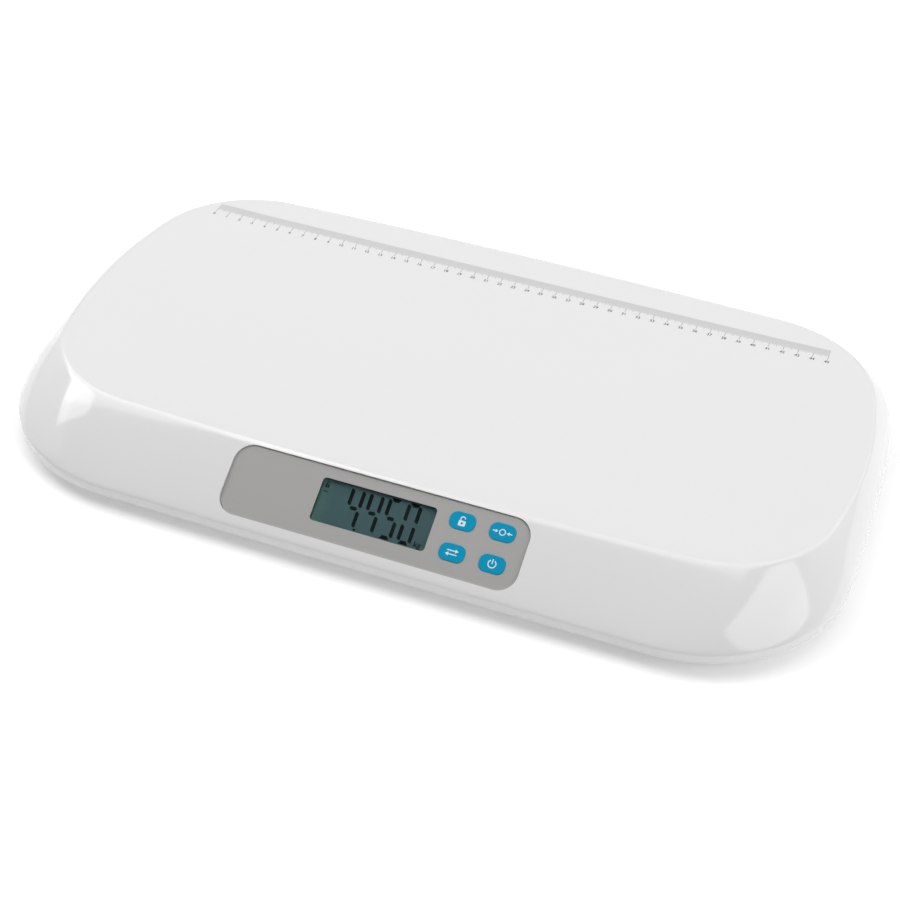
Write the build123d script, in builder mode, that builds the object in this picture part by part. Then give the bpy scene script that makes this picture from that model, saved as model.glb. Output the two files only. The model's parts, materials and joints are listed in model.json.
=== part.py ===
"""Digital baby weighing scale: a shallow tray on four weighing feet, with a display panel in its apron.

The origin is the centre of the scale on the surface that it stands on. +X is to the right along the
tray, +Y points to the back and +Z up. The display panel faces the front, -Y, and upwards.
"""

import os
from math import atan2, cos, hypot, pi, radians, sin, tan

from build123d import *

# ---------------------------------------------------------------- outer form
lip_half_length = 275.0  # the widest line of the shell, half of its length
lip_half_width = 168.0
lip_height = 14.0
crest_height = 44.0  # the line where the tray turns over into the apron
crest_inset_front = 45.3  # how far the crest lies inside the lip
crest_inset_back = 23.7
crest_inset_end = 11.3
back_fullness = 1.8  # 1 is a straight apron, more is a rounder one
end_fullness = 2.2
lip_corner = 100.0
lip_side_bulge = 1.6
lip_end_bulge = 8.2
crest_corner = 76.0
crest_side_bulge = 6.4
crest_end_bulge = 27.0
lip_softness = 0.04  # share of the apron's height in which it turns out of the lip
crest_rounding = 1.2

rim_height = 10.2  # lower edge of the top shell
rim_undercut = 1.4
dish_depth = 2.2
dish_rim = 3.5
dish_ramp = 55.0
side_wall = 3.0
apron_drop = 1.5  # the inside of the apron lies this much lower than its outside
tray_wall = 2.6
rib_thickness = 1.6
rib_depth = 6.0
rib_columns = 7
rib_rows = 4
rib_front_margin = 12.0  # from the crest to the ribs
rib_back_margin = 6.0
rib_end_margin = 40.0

# ---------------------------------------------------------------- base shell
base_bottom = 5.5
floor_wall = 2.4
seam_gap = 0.5
base_inset_top = 2.2
base_inset_middle = 4.4
base_inset_bottom = 8.0
tongue_gap = 0.2
tongue_wall = 1.6
tongue_height = 2.6

# ---------------------------------------------------------------- display panel
panel_width = 189.7
panel_height = 45.8
panel_thickness = 1.5
panel_corner = 12.0
panel_x = -3.2
panel_edge_gap = 1.2  # from the crest to the panel's upper edge
panel_sink = 1.2
panel_fit = 0.15
ledge_thickness = 2.5
ledge_margin = 2.5
opening_gap = 1.7  # above and below the LCD glass, behind the panel
opening_side_gap = 4.0  # beside the LCD glass
opening_key_gap = 1.3  # beside the last key's flange

lcd_x = -0.2
lcd_y = 1.46
window_width = 73.4
window_height = 27.85
window_corner = 2.5
lens_fit = 0.1
lens_sink = 0.15
lens_flange = 2.2
lens_flange_thickness = 0.8
gasket_thickness = 0.7
gasket_width = 2.2
glass_margin_x = 2.1  # the LCD glass reaches this far past the window
glass_margin_y = 2.875
glass_thickness = 2.4
backlight_margin_x = 2.8  # the backlight stops this far inside the glass
backlight_margin_y = 3.8
backlight_thickness = 2.7
zebra_margin = 3.8  # the strips stop this far inside the glass's ends
zebra_width = 2.2
zebra_height = 3.1  # from the glass to the board
zebra_edge_gap = 0.2
frame_wall = 1.4
frame_fit = 0.2
frame_drop = 0.2  # below the ledge behind the panel

key_x = 65.45  # centre of the four keys
key_y = 1.75
key_pitch_x = 24.9
key_pitch_y = 19.95
key_width = 15.8
key_height = 10.8
key_corner = 4.4
key_fit = 0.1
key_proud = 0.5
key_travel = 0.6
key_flange = 1.4
key_flange_thickness = 1.0
key_post = 4.4
key_post_length = 2.2
switch_size = 6.0
switch_height = 3.0
stem_radius = 1.6
stem_length = 1.9
stem_fit = 0.05
bore_end_gap = 0.4  # under a stem that is pressed fully

board_thickness = 1.6
board_margin_x = 7.5  # the board reaches this far past the opening behind the panel
board_margin_y = 0.25
board_shift = -0.45
board_boss_radius = 2.6
board_screw_inset = 3.6
board_screw_radius = 0.95
board_screw_length = 7.0
board_screw_head_radius = 1.9
board_screw_head_height = 1.5

# ---------------------------------------------------------------- weighing feet
foot_from_end = 75.0
foot_from_side = 66.0
pocket_gap = 1.5  # around the foot
pocket_wall = 2.0
pocket_ceiling = 14.5
foot_radius = 20.0
foot_hole_gap = 0.6
foot_top = 7.5
foot_bottom = 2.0
pad_margin = 4.0  # from the foot's rim to its rubber pad
pad_depth = 1.0
pad_fit = 0.1
stub_radius = 4.0
cell_size = 31.0
cell_corner = 6.0
cell_thickness = 1.6
rail_height = 0.8
rail_width = 6.0
slot_size = 17.0
slot_width = 1.6
cell_screw_inset = 4.0
cell_screw_radius = 1.1
cell_screw_length = 4.0
cell_screw_head_radius = 2.0
cell_screw_head_height = 1.3
screw_fit = 0.05
prong_width = 5.0
prong_wall = 1.7
prong_top = 9.6
barb_bottom = 8.0
barb_height = 0.9
barb_reach = 1.2

# ---------------------------------------------------------------- cables
lead_radius = 1.0
lead_height = 10.3  # of the load cells' leads
battery_lead_radius = 0.7
battery_lead_height = 12.8
lead_pitch = 3.2
gauge_cover_x = 10.0
gauge_cover_length = 5.0
gauge_cover_width = 7.0
gauge_cover_height = 2.9
header_y = 6.0
header_depth = 5.0
header_height = 4.4
sensor_header_x = 50.0  # either side of the board's middle
bend_share = 0.4  # of a run, taken by the arc at each of its ends
clip_length = 6.0
clip_wall = 1.7
clip_fit = 0.05

# ---------------------------------------------------------------- batteries
cell_diameter = 10.5  # AAA
cell_length = 44.5
cell_nub_radius = 1.9
cell_nub_length = 1.0
battery_count = 4
battery_gap = 0.3
spring_room = 4.3
contact_thickness = 0.4
bay_wall = 1.8
bay_y = 30.0
door_thickness = 1.8
door_gap = 0.3
door_hinge_gap = 0.7
door_ledge = 2.5
hinge_radius = 1.5
hinge_pin_radius = 0.8
hinge_clearance = 0.05
hinge_ear = 4.0
hinge_pocket = 1.0  # free space behind the hinge barrel
hinge_mouth = 1.3  # the slot that the pin snaps in through
bay_pad_height = 5.4
latch_width = 12.0
latch_gap = 0.4
latch_post_thickness = 1.4
latch_post_height = 4.0
latch_slit = 0.8
latch_reach = 9.0
contact_height = 8.0
spring_radius = 3.8
spring_wire = 0.3
spring_pitch = 1.4
spring_taper = 0.36  # of its radius, lost for each millimetre of height
spring_corners = 10  # arcs in each turn
tab_width = 3.0
tab_reach = 4.5
tab_slot_gap = 0.2

# ---------------------------------------------------------------- housing screws
screw_boss_radius = 3.6
screw_well_radius = 4.6
screw_joint_height = 12.5
screw_head_radius = 2.8
screw_head_height = 2.0
screw_shank_radius = 1.25
screw_length = 9.0
screw_well_depth = 3.6
screw_head_gap = 0.3
screw_hole_gap = 0.35
screw_end_inset = 28.0
screw_end_spread = 52.0
screw_front_x = 125.0
screw_front_inset = 20.0
screw_back_x = 110.0
screw_back_inset = 17.0

# ---------------------------------------------------------------- derived places
crest_front_y = -(lip_half_width - crest_inset_front)
apron_rise = crest_height - lip_height
panel_tilt = atan2(apron_rise * (hypot(1, lip_softness) - lip_softness), crest_inset_front)
panel_reach = panel_edge_gap + panel_height / 2
panel_centre_y = crest_front_y - panel_reach * cos(panel_tilt) + panel_sink * sin(panel_tilt)
panel_centre_z = crest_height - panel_reach * sin(panel_tilt) - panel_sink * cos(panel_tilt)
panel_plane = Plane(
    origin=(panel_x, panel_centre_y, panel_centre_z),
    x_dir=(1, 0, 0),
    z_dir=(0, -sin(panel_tilt), cos(panel_tilt)),
)
glass_width = window_width + 2 * glass_margin_x
glass_height = window_height + 2 * glass_margin_y
backlight_width = glass_width - 2 * backlight_margin_x
backlight_height = glass_height - 2 * backlight_margin_y
zebra_length = glass_width - 2 * zebra_margin
lens_back = panel_thickness + lens_flange_thickness  # depths below the panel's face
gasket_back = lens_back + gasket_thickness
glass_back = gasket_back + glass_thickness
board_depth = glass_back + zebra_height
flange_back = panel_thickness + key_flange_thickness
post_back = flange_back + key_post_length
stem_back = post_back + stem_length
opening_left = lcd_x - glass_width / 2 - opening_side_gap
opening_right = key_x + key_pitch_x / 2 + key_width / 2 + key_flange + opening_key_gap
opening_width = opening_right - opening_left
opening_height = glass_height + 2 * opening_gap
opening_x = (opening_left + opening_right) / 2
opening_y = key_y
board_width = opening_width + 2 * board_margin_x
board_height = opening_height + 2 * board_margin_y
board_x = opening_x + board_shift
board_y = opening_y
tray_floor = crest_height - dish_depth
tray_ceiling = tray_floor - tray_wall
base_floor = base_bottom + floor_wall
base_top = rim_height - seam_gap
tongue_inset = side_wall + tongue_gap
foot_x = lip_half_length - foot_from_end
foot_y = lip_half_width - foot_from_side
pocket_radius = foot_radius + pocket_gap
pad_radius = foot_radius - pad_margin
cell_screw_spread = cell_size / 2 - cell_screw_inset
pocket_height = pocket_ceiling + floor_wall - base_bottom
cell_top = pocket_ceiling - rail_height
cell_bottom = cell_top - cell_thickness
corners = {
    "front_left": (-1, -1),
    "front_right": (1, -1),
    "back_left": (-1, 1),
    "back_right": (1, 1),
}
keys = {
    "hold": (-1, 1),
    "tare": (1, 1),
    "unit": (-1, -1),
    "power": (1, -1),
}
key_spots = {
    name: (key_x + across * key_pitch_x / 2, key_y + up * key_pitch_y / 2)
    for name, (across, up) in keys.items()
}
screw_spots = [
    (side * x, y)
    for side in (-1, 1)
    for x, y in (
        (lip_half_length - screw_end_inset, screw_end_spread),
        (lip_half_length - screw_end_inset, -screw_end_spread),
        (screw_front_x, -(lip_half_width - screw_front_inset)),
        (screw_back_x, lip_half_width - screw_back_inset),
    )
]

os.makedirs("parts", exist_ok=True)


def write_part(builder, name):
    """Labels a finished piece and writes it as its own STEP file."""
    builder.part.label = name
    export_step(builder.part, f"parts/{name}.step")


def outline(height, share=0.0, inset=0.0):
    """The scale's eight-arc outline at a height, share of the way from lip (0) to crest (1)."""
    full_softness = hypot(1, lip_softness) - lip_softness
    soft_share = (hypot(share, lip_softness) - lip_softness) / full_softness
    half_length = lip_half_length - crest_inset_end * share**end_fullness - inset
    front = lip_half_width - crest_inset_front * soft_share - inset
    back = lip_half_width - crest_inset_back * share**back_fullness - inset
    end_bulge = lip_end_bulge + (crest_end_bulge - lip_end_bulge) * soft_share
    side_bulge = lip_side_bulge + (crest_side_bulge - lip_side_bulge) * soft_share
    corner = lip_corner + (crest_corner - lip_corner) * soft_share - inset
    x = half_length - end_bulge
    front_y = side_bulge - front
    back_y = back - side_bulge
    middle_y = (front_y + back_y) / 2
    with BuildSketch(Plane.XY.offset(height)) as sketch:
        with BuildLine():
            ThreePointArc((-x, front_y), (0, -front), (x, front_y))
            ThreePointArc((x, front_y), (half_length, middle_y), (x, back_y))
            ThreePointArc((x, back_y), (0, back), (-x, back_y))
            ThreePointArc((-x, back_y), (-half_length, middle_y), (-x, front_y))
        make_face()
        fillet(sketch.vertices(), corner)
    return sketch.sketch


def at_panel(depth, x=0.0, y=0.0):
    """A plane parallel to the display panel, depth below its face, centred at x, y on it."""
    return Plane(
        origin=panel_plane.from_local_coords(Vector(x, y, -depth)),
        x_dir=panel_plane.x_dir,
        z_dir=panel_plane.z_dir,
    )


def on_panel(x, y, depth):
    """A point at x, y on the display panel and depth below its face."""
    return panel_plane.from_local_coords(Vector(x, y, -depth))


def slab(plane, width, height, depth, corner=0.0):
    """A rounded block that stands on a plane and rises by depth along its normal."""
    with BuildPart() as block:
        with BuildSketch(plane):
            if corner:
                RectangleRounded(width, height, corner)
            else:
                Rectangle(width, height)
        extrude(amount=depth)
    return block.part


def rod(plane, radius, length):
    """A round bar that stands on a plane."""
    with BuildPart() as bar:
        with BuildSketch(plane):
            Circle(radius)
        extrude(amount=length)
    return bar.part


def upright(x, y, height):
    """A level plane at a point."""
    return Plane(origin=(x, y, height), x_dir=(1, 0, 0), z_dir=(0, 0, 1))


# ---------------------------------------------------------------- top shell
apron_shares = (0.0, 0.03, 0.07, 0.13, 0.25, 0.5, 0.75)
inner_shares = (0.0, 0.1, 0.25, 0.5, 0.75, 1.0)
crest_steps = ((1.0, 0.0), (0.45, 0.15), (0.1, 0.6), (0.0, 1.2))  # below and inside the crest
ceiling_share = (tray_ceiling + apron_drop - lip_height) / apron_rise

with BuildPart() as outer_form:
    for step in (1.0, 0.5):
        add(outline(lip_height - step * (lip_height - rim_height), 0, rim_undercut * step**2))
    for share in apron_shares:
        add(outline(lip_height + apron_rise * share, share))
    for below, inside in crest_steps:
        height = crest_height - crest_rounding * below
        add(outline(height, (height - lip_height) / apron_rise, crest_rounding * inside))
    loft()

with BuildPart() as inner_form:
    for share in inner_shares:
        part_share = share * ceiling_share
        add(outline(lip_height + apron_rise * part_share - apron_drop, part_share, side_wall))
    loft()
    add(outline(rim_height - 1, 0, side_wall))
    extrude(amount=lip_height - apron_drop - rim_height + 1)

panel_back = panel_thickness + ledge_thickness
board_hole_x = board_width / 2 - board_screw_inset
board_hole_y = board_height / 2 - board_screw_inset
board_holes = [
    (board_x + side * board_hole_x, board_y + up * board_hole_y)
    for side in (-1, 1)
    for up in (-1, 1)
]
rib_front = crest_front_y + rib_front_margin
rib_back = lip_half_width - crest_inset_back - rib_back_margin
rib_reach = lip_half_length - crest_inset_end - rib_end_margin

with BuildPart() as void:
    add(inner_form.part)
    add(
        slab(
            at_panel(panel_back),
            panel_width + 2 * ledge_margin,
            panel_height + 2 * ledge_margin,
            panel_back + 12,
        ),
        mode=Mode.SUBTRACT,
    )
    for x, y in board_holes:
        add(rod(at_panel(board_depth, x, y), board_boss_radius, board_depth), mode=Mode.SUBTRACT)
    for x, y in screw_spots:
        add(rod(upright(x, y, screw_joint_height), screw_boss_radius, crest_height), mode=Mode.SUBTRACT)
    with BuildSketch(Plane.XY.offset(tray_ceiling - rib_depth)):
        for k in range(rib_columns):
            rib_x = ((k + 0.5) / rib_columns - 0.5) * 2 * rib_reach
            with Locations((rib_x, (rib_front + rib_back) / 2)):
                Rectangle(rib_thickness, rib_back - rib_front)
        for k in range(rib_rows):
            rib_y = rib_front + (k + 0.5) / rib_rows * (rib_back - rib_front)
            with Locations((0, rib_y)):
                Rectangle(2 * rib_reach, rib_thickness)
    extrude(amount=rib_depth + 1, mode=Mode.SUBTRACT)

with BuildPart() as top_shell:
    add(outer_form.part)
    add(void.part, mode=Mode.SUBTRACT)
    add(outline(tray_floor, 1.0, dish_rim + dish_ramp))
    add(outline(crest_height, 1.0, dish_rim))
    loft(ruled=True, mode=Mode.SUBTRACT)
    with BuildSketch(at_panel(panel_thickness)):
        RectangleRounded(panel_width + 2 * panel_fit, panel_height + 2 * panel_fit, panel_corner)
    extrude(amount=panel_thickness + 8, mode=Mode.SUBTRACT)
    with BuildSketch(at_panel(panel_back + 1)):
        with Locations((opening_x, opening_y)):
            RectangleRounded(opening_width, opening_height, 2)
    extrude(amount=panel_back + 1, mode=Mode.SUBTRACT)
    with BuildSketch(at_panel(board_depth)):
        with Locations(*board_holes):
            Circle(board_screw_radius + screw_fit)
    extrude(amount=board_depth - panel_thickness - 1, mode=Mode.SUBTRACT)
    with BuildSketch(Plane.XY.offset(screw_joint_height)):
        with Locations(*screw_spots):
            Circle(screw_shank_radius + screw_fit)
    extrude(amount=screw_length, mode=Mode.SUBTRACT)
write_part(top_shell, "top_shell")

# ---------------------------------------------------------------- cable routes
board_underside = board_depth + board_thickness
plug_depth = board_underside + header_height
cell_pitch = cell_diameter + battery_gap
cells_width = battery_count * cell_pitch + battery_gap
bay_length = cell_length + spring_room + 2 * contact_thickness + 0.4
cell_axis_height = base_bottom + door_thickness + door_gap + cell_diameter / 2
bay_ceiling = cell_axis_height + cell_diameter / 2 + 0.3
tab_end = bay_length / 2 + tab_reach


def lead_side(name):
    """+1 where a corner's lead leaves its foot to the right, and -1 to the left."""
    return -corners[name][0]


def foot_spot(name):
    """Where the middle of a corner's foot stands."""
    across, back = corners[name]
    return across * foot_x, back * foot_y


def plug_in(x, height):
    """The last three points of a lead: under the board, where it turns up, and at its header."""
    end = on_panel(x, header_y, plug_depth)
    turn_y = end.Y + (end.Z - height) * tan(panel_tilt)
    return [(end.X, turn_y + 14, height), (end.X, turn_y, height), (end.X, end.Y, end.Z)]


def sensor_route(name):
    """A load cell's lead, from the gauge cover on its cell to the header on its side of the board."""
    across, back = corners[name]
    x, y = foot_spot(name)
    gauge = (x + lead_side(name) * (gauge_cover_x + gauge_cover_length / 2), y, lead_height)
    clear_of_foot = (x + lead_side(name) * 55, y, lead_height)
    plug = plug_in(board_x + across * (sensor_header_x - back * lead_pitch), lead_height)
    if back < 0:
        beside_header = (plug[0][0] + across * 26, plug[0][1] + 22, lead_height)
        return [gauge, clear_of_foot, beside_header] + plug
    behind_bay = (across * 82, y - 36, lead_height)
    beside_bay = (across * 60, y - 96, lead_height)
    return [gauge, clear_of_foot, behind_bay, beside_bay] + plug


def battery_route(side):
    """A battery lead, from the front (-1) or back (1) tab at the bay's right end to its header."""
    plug = plug_in(board_x + side * lead_pitch / 2, battery_lead_height)
    tab_y = bay_y + side * cell_pitch * (battery_count - 1) / 2
    out_x = tab_end + 12 + side * 4
    turn = (out_x, tab_y, battery_lead_height)
    return [(tab_end, tab_y, battery_lead_height), turn, (out_x - 2, -30, battery_lead_height)] + plug


def bend_radii(points):
    """The largest arcs that a route's runs leave room for."""
    radii = []
    for before, at, after in zip(points, points[1:], points[2:]):
        arriving = Vector(*at) - Vector(*before)
        leaving = Vector(*after) - Vector(*at)
        turn = radians(arriving.get_angle(leaving))
        radii.append(bend_share * min(arriving.length, leaving.length) / tan(turn / 2))
    return radii


sensor_routes = {name: sensor_route(name) for name in corners}
battery_routes = {"red": battery_route(-1), "black": battery_route(1)}


def clip_places():
    """The level plane and the lead's radius at each clip: the straight middle of every long run."""
    shortest_run = (clip_length + 1) / (1 - 2 * bend_share)
    places = []
    for routes, radius in ((sensor_routes, lead_radius), (battery_routes, battery_lead_radius)):
        for route in routes.values():
            for start, end in zip(route, route[1:]):
                along = Vector(*end) - Vector(*start)
                if along.length > shortest_run and abs(along.Z) < 0.01:
                    middle = (Vector(*start) + Vector(*end)) * 0.5
                    places.append((Plane(origin=middle, x_dir=along, z_dir=(0, 0, 1)), radius))
    return places


# ---------------------------------------------------------------- base shell
door_end = bay_length / 2 + door_ledge
door_width = cells_width + 2 * door_ledge
hinge_x = -door_end - hinge_radius
hinge_height = base_bottom + hinge_radius
barrel_length = door_width - 2 * hinge_ear
plate_start = hinge_x + hinge_radius + 1.2
pad_start = hinge_x - hinge_radius - hinge_pocket - bay_wall
pad_end = door_end + door_gap + bay_wall
recess_start = plate_start - door_hinge_gap
recess_end = door_end + door_gap
pocket_start = hinge_x - hinge_radius - hinge_pocket
hinge_plane = Plane(origin=(hinge_x, bay_y, hinge_height), x_dir=(1, 0, 0), z_dir=(0, 1, 0))


def along_hinge(radius, length):
    """A round bar on the battery door's hinge line."""
    return rod(hinge_plane.offset(-length / 2), radius, length)


with BuildPart() as base_shell:
    add(outline(base_bottom, 0, base_inset_bottom))
    add(outline(base_bottom + 1.5, 0, base_inset_middle))
    add(outline(base_top, 0, base_inset_top))
    loft()
    add(outline(base_top, 0, tongue_inset))
    extrude(amount=tongue_height)
    add(outline(base_floor, 0, tongue_inset + tongue_wall))
    extrude(amount=base_top + tongue_height, mode=Mode.SUBTRACT)
    # foot pockets, screw wells, battery bay and lead clips stand on the floor
    for name in corners:
        add(rod(upright(*foot_spot(name), base_bottom), pocket_radius + pocket_wall, pocket_height))
    for x, y in screw_spots:
        add(rod(upright(x, y, base_bottom), screw_well_radius, screw_joint_height - base_bottom))
    bay_centre = upright(0, bay_y, base_bottom)
    bay_height = bay_ceiling + bay_wall - base_bottom
    add(slab(bay_centre, bay_length + 2 * bay_wall, cells_width + 2 * bay_wall, bay_height))
    pad_centre = upright((pad_start + pad_end) / 2, bay_y, base_bottom)
    add(slab(pad_centre, pad_end - pad_start, door_width + 2 * (door_gap + bay_wall), bay_pad_height))
    for middle, radius in clip_places():
        height = middle.origin.Z + radius - base_floor
        foot = middle.offset(base_floor - middle.origin.Z)
        add(slab(foot, clip_length, 2 * (radius + clip_wall), height))
    for middle, radius in clip_places():
        bore = radius + clip_fit
        add(slab(middle.offset(-bore), clip_length + 1, 2 * bore, 3 * radius), mode=Mode.SUBTRACT)
    # foot pockets
    for name in corners:
        x, y = foot_spot(name)
        foot_hole = rod(upright(x, y, base_bottom), foot_radius + foot_hole_gap, floor_wall)
        add(foot_hole, mode=Mode.SUBTRACT)
        pocket = rod(upright(x, y, base_floor), pocket_radius, pocket_ceiling - base_floor)
        add(pocket, mode=Mode.SUBTRACT)
        for side in (-1, 1):
            rail_middle = upright(x, y + side * cell_screw_spread, cell_top)
            add(slab(rail_middle, cell_size, rail_width, rail_height + 0.5))
        with BuildSketch(upright(x, y, cell_top)):
            with GridLocations(2 * cell_screw_spread, 2 * cell_screw_spread, 2, 2):
                Circle(cell_screw_radius + screw_fit)
        extrude(amount=cell_screw_length - cell_thickness + 0.2, mode=Mode.SUBTRACT)
        notch_x = x + lead_side(name) * (pocket_radius + pocket_wall / 2)
        notch_size = 2 * lead_radius + 1.2
        notch_middle = upright(notch_x, y, lead_height - notch_size / 2)
        notch = slab(notch_middle, 2 * pocket_wall + 2, notch_size, notch_size)
        add(notch, mode=Mode.SUBTRACT)
    # screw wells
    for x, y in screw_spots:
        mouth = upright(x, y, base_bottom)
        add(rod(mouth, screw_head_radius + screw_head_gap, screw_well_depth), mode=Mode.SUBTRACT)
        add(rod(mouth, screw_shank_radius + screw_hole_gap, screw_joint_height), mode=Mode.SUBTRACT)
    # battery bay with the slots for its two solder tabs
    add(slab(bay_centre, bay_length, cells_width, bay_ceiling - base_bottom), mode=Mode.SUBTRACT)
    for side in (-1, 1):
        tab_y = bay_y + side * cell_pitch * (battery_count - 1) / 2
        slot_height = contact_thickness + 2 * tab_slot_gap
        slot_bottom = battery_lead_height - slot_height / 2
        slot_centre = upright(bay_length / 2 + bay_wall / 2, tab_y, slot_bottom)
        slot = slab(slot_centre, bay_wall + 0.5, tab_width + 2 * tab_slot_gap, slot_height)
        add(slot, mode=Mode.SUBTRACT)
    # door recess, hinge pocket with its pin seats, and latch notch
    recess_centre = upright((recess_start + recess_end) / 2, bay_y, base_bottom)
    recess_width = door_width + 2 * door_gap
    recess = slab(recess_centre, recess_end - recess_start, recess_width, door_thickness + 0.1)
    add(recess, mode=Mode.SUBTRACT)
    pocket_centre = upright((pocket_start + plate_start) / 2, bay_y, base_bottom)
    pocket_width = barrel_length + 2 * door_gap
    pocket = slab(pocket_centre, plate_start - pocket_start, pocket_width, 2 * hinge_radius + 0.4)
    add(pocket, mode=Mode.SUBTRACT)
    add(along_hinge(hinge_pin_radius + hinge_clearance, door_width), mode=Mode.SUBTRACT)
    mouth = slab(upright(hinge_x, bay_y, base_bottom), hinge_mouth, door_width, hinge_radius)
    add(mouth, mode=Mode.SUBTRACT)
    notch_centre = upright((bay_length / 2 + recess_end) / 2, bay_y, base_bottom)
    notch_length = recess_end - bay_length / 2 + 1
    notch = slab(notch_centre, notch_length, latch_width + 2 * latch_gap, bay_pad_height - 0.8)
    add(notch, mode=Mode.SUBTRACT)
write_part(base_shell, "base_shell")

# ---------------------------------------------------------------- battery door and hinge pin
with BuildPart() as battery_door:
    plate_centre = upright((plate_start + door_end) / 2, bay_y, base_bottom)
    add(slab(plate_centre, door_end - plate_start, door_width, door_thickness))
    web_length = plate_start - hinge_x + 0.2
    web_centre = upright(hinge_x + web_length / 2, bay_y, base_bottom)
    add(slab(web_centre, web_length, barrel_length, door_thickness))
    add(along_hinge(hinge_radius, barrel_length))
    add(along_hinge(hinge_pin_radius + hinge_clearance, barrel_length), mode=Mode.SUBTRACT)
    post_x = bay_length / 2 + latch_gap + latch_post_thickness / 2
    add(slab(upright(post_x, bay_y, base_bottom), latch_post_thickness, latch_width, latch_post_height))
    for side in (-1, 1):
        slit_y = bay_y + side * (latch_width / 2 + latch_slit)
        slit_centre = upright(door_end - latch_reach / 2, slit_y, base_bottom)
        add(slab(slit_centre, latch_reach, latch_slit, door_thickness), mode=Mode.SUBTRACT)
    for k in range(4):
        groove_centre = upright(door_end - 2.2 - 1.5 * k, bay_y, base_bottom)
        add(slab(groove_centre, 0.6, latch_width - 2, 0.4), mode=Mode.SUBTRACT)
write_part(battery_door, "battery_door")

with BuildPart() as hinge_pin:
    add(along_hinge(hinge_pin_radius, door_width - 1))
write_part(hinge_pin, "hinge_pin")

# ---------------------------------------------------------------- display panel, window and LCD module
with BuildPart() as display_panel:
    with BuildSketch(at_panel(panel_thickness)):
        RectangleRounded(panel_width, panel_height, panel_corner)
        with Locations((lcd_x, lcd_y)):
            RectangleRounded(window_width, window_height, window_corner, mode=Mode.SUBTRACT)
        with Locations(*key_spots.values()):
            RectangleRounded(
                key_width + 2 * key_fit,
                key_height + 2 * key_fit,
                key_corner + key_fit,
                mode=Mode.SUBTRACT,
            )
    extrude(amount=panel_thickness)
    face = display_panel.faces().sort_by(Axis(panel_plane.origin, panel_plane.z_dir))[-1]
    fillet(face.outer_wire().edges(), 0.5)
write_part(display_panel, "display_panel")

flange_width = window_width + 2 * lens_flange
flange_height = window_height + 2 * lens_flange

with BuildPart() as display_lens:
    plug_plane = at_panel(panel_thickness, lcd_x, lcd_y)
    plug_width = window_width - 2 * lens_fit
    plug_height = window_height - 2 * lens_fit
    plug_rise = panel_thickness - lens_sink
    add(slab(plug_plane, plug_width, plug_height, plug_rise, window_corner - lens_fit))
    flange_plane = at_panel(lens_back, lcd_x, lcd_y)
    add(slab(flange_plane, flange_width, flange_height, lens_flange_thickness, window_corner))
write_part(display_lens, "display_lens")

with BuildPart() as lens_gasket:
    gasket_plane = at_panel(gasket_back, lcd_x, lcd_y)
    add(slab(gasket_plane, flange_width, flange_height, gasket_thickness, window_corner))
    hole_width = flange_width - 2 * gasket_width
    hole_height = flange_height - 2 * gasket_width
    add(slab(gasket_plane, hole_width, hole_height, gasket_thickness), mode=Mode.SUBTRACT)
write_part(lens_gasket, "lens_gasket")

with BuildPart() as lcd_glass:
    add(slab(at_panel(glass_back, lcd_x, lcd_y), glass_width, glass_height, glass_thickness))
write_part(lcd_glass, "lcd_glass")

with BuildPart() as lcd_frame:
    frame_plane = at_panel(board_depth, lcd_x, lcd_y)
    frame_height = board_depth - panel_back - frame_drop
    inner_width = glass_width + 2 * frame_fit
    inner_height = glass_height + 2 * frame_fit
    outer_width = inner_width + 2 * frame_wall
    outer_height = inner_height + 2 * frame_wall
    add(slab(frame_plane, outer_width, outer_height, frame_height, 1.0))
    add(slab(frame_plane, inner_width, inner_height, frame_height), mode=Mode.SUBTRACT)
write_part(lcd_frame, "lcd_frame")

with BuildPart() as lcd_backlight:
    backlight_plane = at_panel(board_depth, lcd_x, lcd_y)
    add(slab(backlight_plane, backlight_width, backlight_height, backlight_thickness))
write_part(lcd_backlight, "lcd_backlight")

with BuildPart() as zebra_strips:
    strip_reach = glass_height / 2 - zebra_width / 2 - zebra_edge_gap
    for side in (-1, 1):
        strip_plane = at_panel(board_depth, lcd_x, lcd_y + side * strip_reach)
        add(slab(strip_plane, zebra_length, zebra_width, zebra_height))
write_part(zebra_strips, "zebra_strips")

# ---------------------------------------------------------------- circuit board and what it carries
with BuildPart() as display_board:
    board_plane = at_panel(board_underside, board_x, board_y)
    add(slab(board_plane, board_width, board_height, board_thickness, 1.0))
    for x, y in board_holes:
        hole = rod(at_panel(board_underside, x, y), board_screw_radius + screw_fit, board_thickness)
        add(hole, mode=Mode.SUBTRACT)
write_part(display_board, "display_board")

with BuildPart() as board_screws:
    for x, y in board_holes:
        head = at_panel(board_underside + board_screw_head_height, x, y)
        add(rod(head, board_screw_head_radius, board_screw_head_height))
        add(rod(at_panel(board_underside, x, y), board_screw_radius, board_screw_length))
        slot = slab(head, 2.6, 0.5, 0.7)
        add(slot, mode=Mode.SUBTRACT)
write_part(board_screws, "board_screws")

with BuildPart() as board_chips:
    add(slab(at_panel(board_underside + 1.4, board_x - 18, board_y - 7), 12, 12, 1.4))
    add(slab(at_panel(board_underside + 1.5, board_x + 20, board_y - 8), 6.2, 5.0, 1.5))
    add(slab(at_panel(board_underside + 1.2, board_x - 36, board_y - 9), 4.4, 3.0, 1.2))
write_part(board_chips, "board_chips")

with BuildPart() as crystal:
    add(slab(at_panel(board_underside + 3.5, board_x - 18, board_y + 9), 10.2, 3.8, 3.5, 1.8))
write_part(crystal, "crystal")

with BuildPart() as capacitors:
    for x in (26, 33):
        add(rod(at_panel(board_underside + 5.4, board_x + x, board_y + 8), 2.5, 5.4))
write_part(capacitors, "capacitors")

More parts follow.
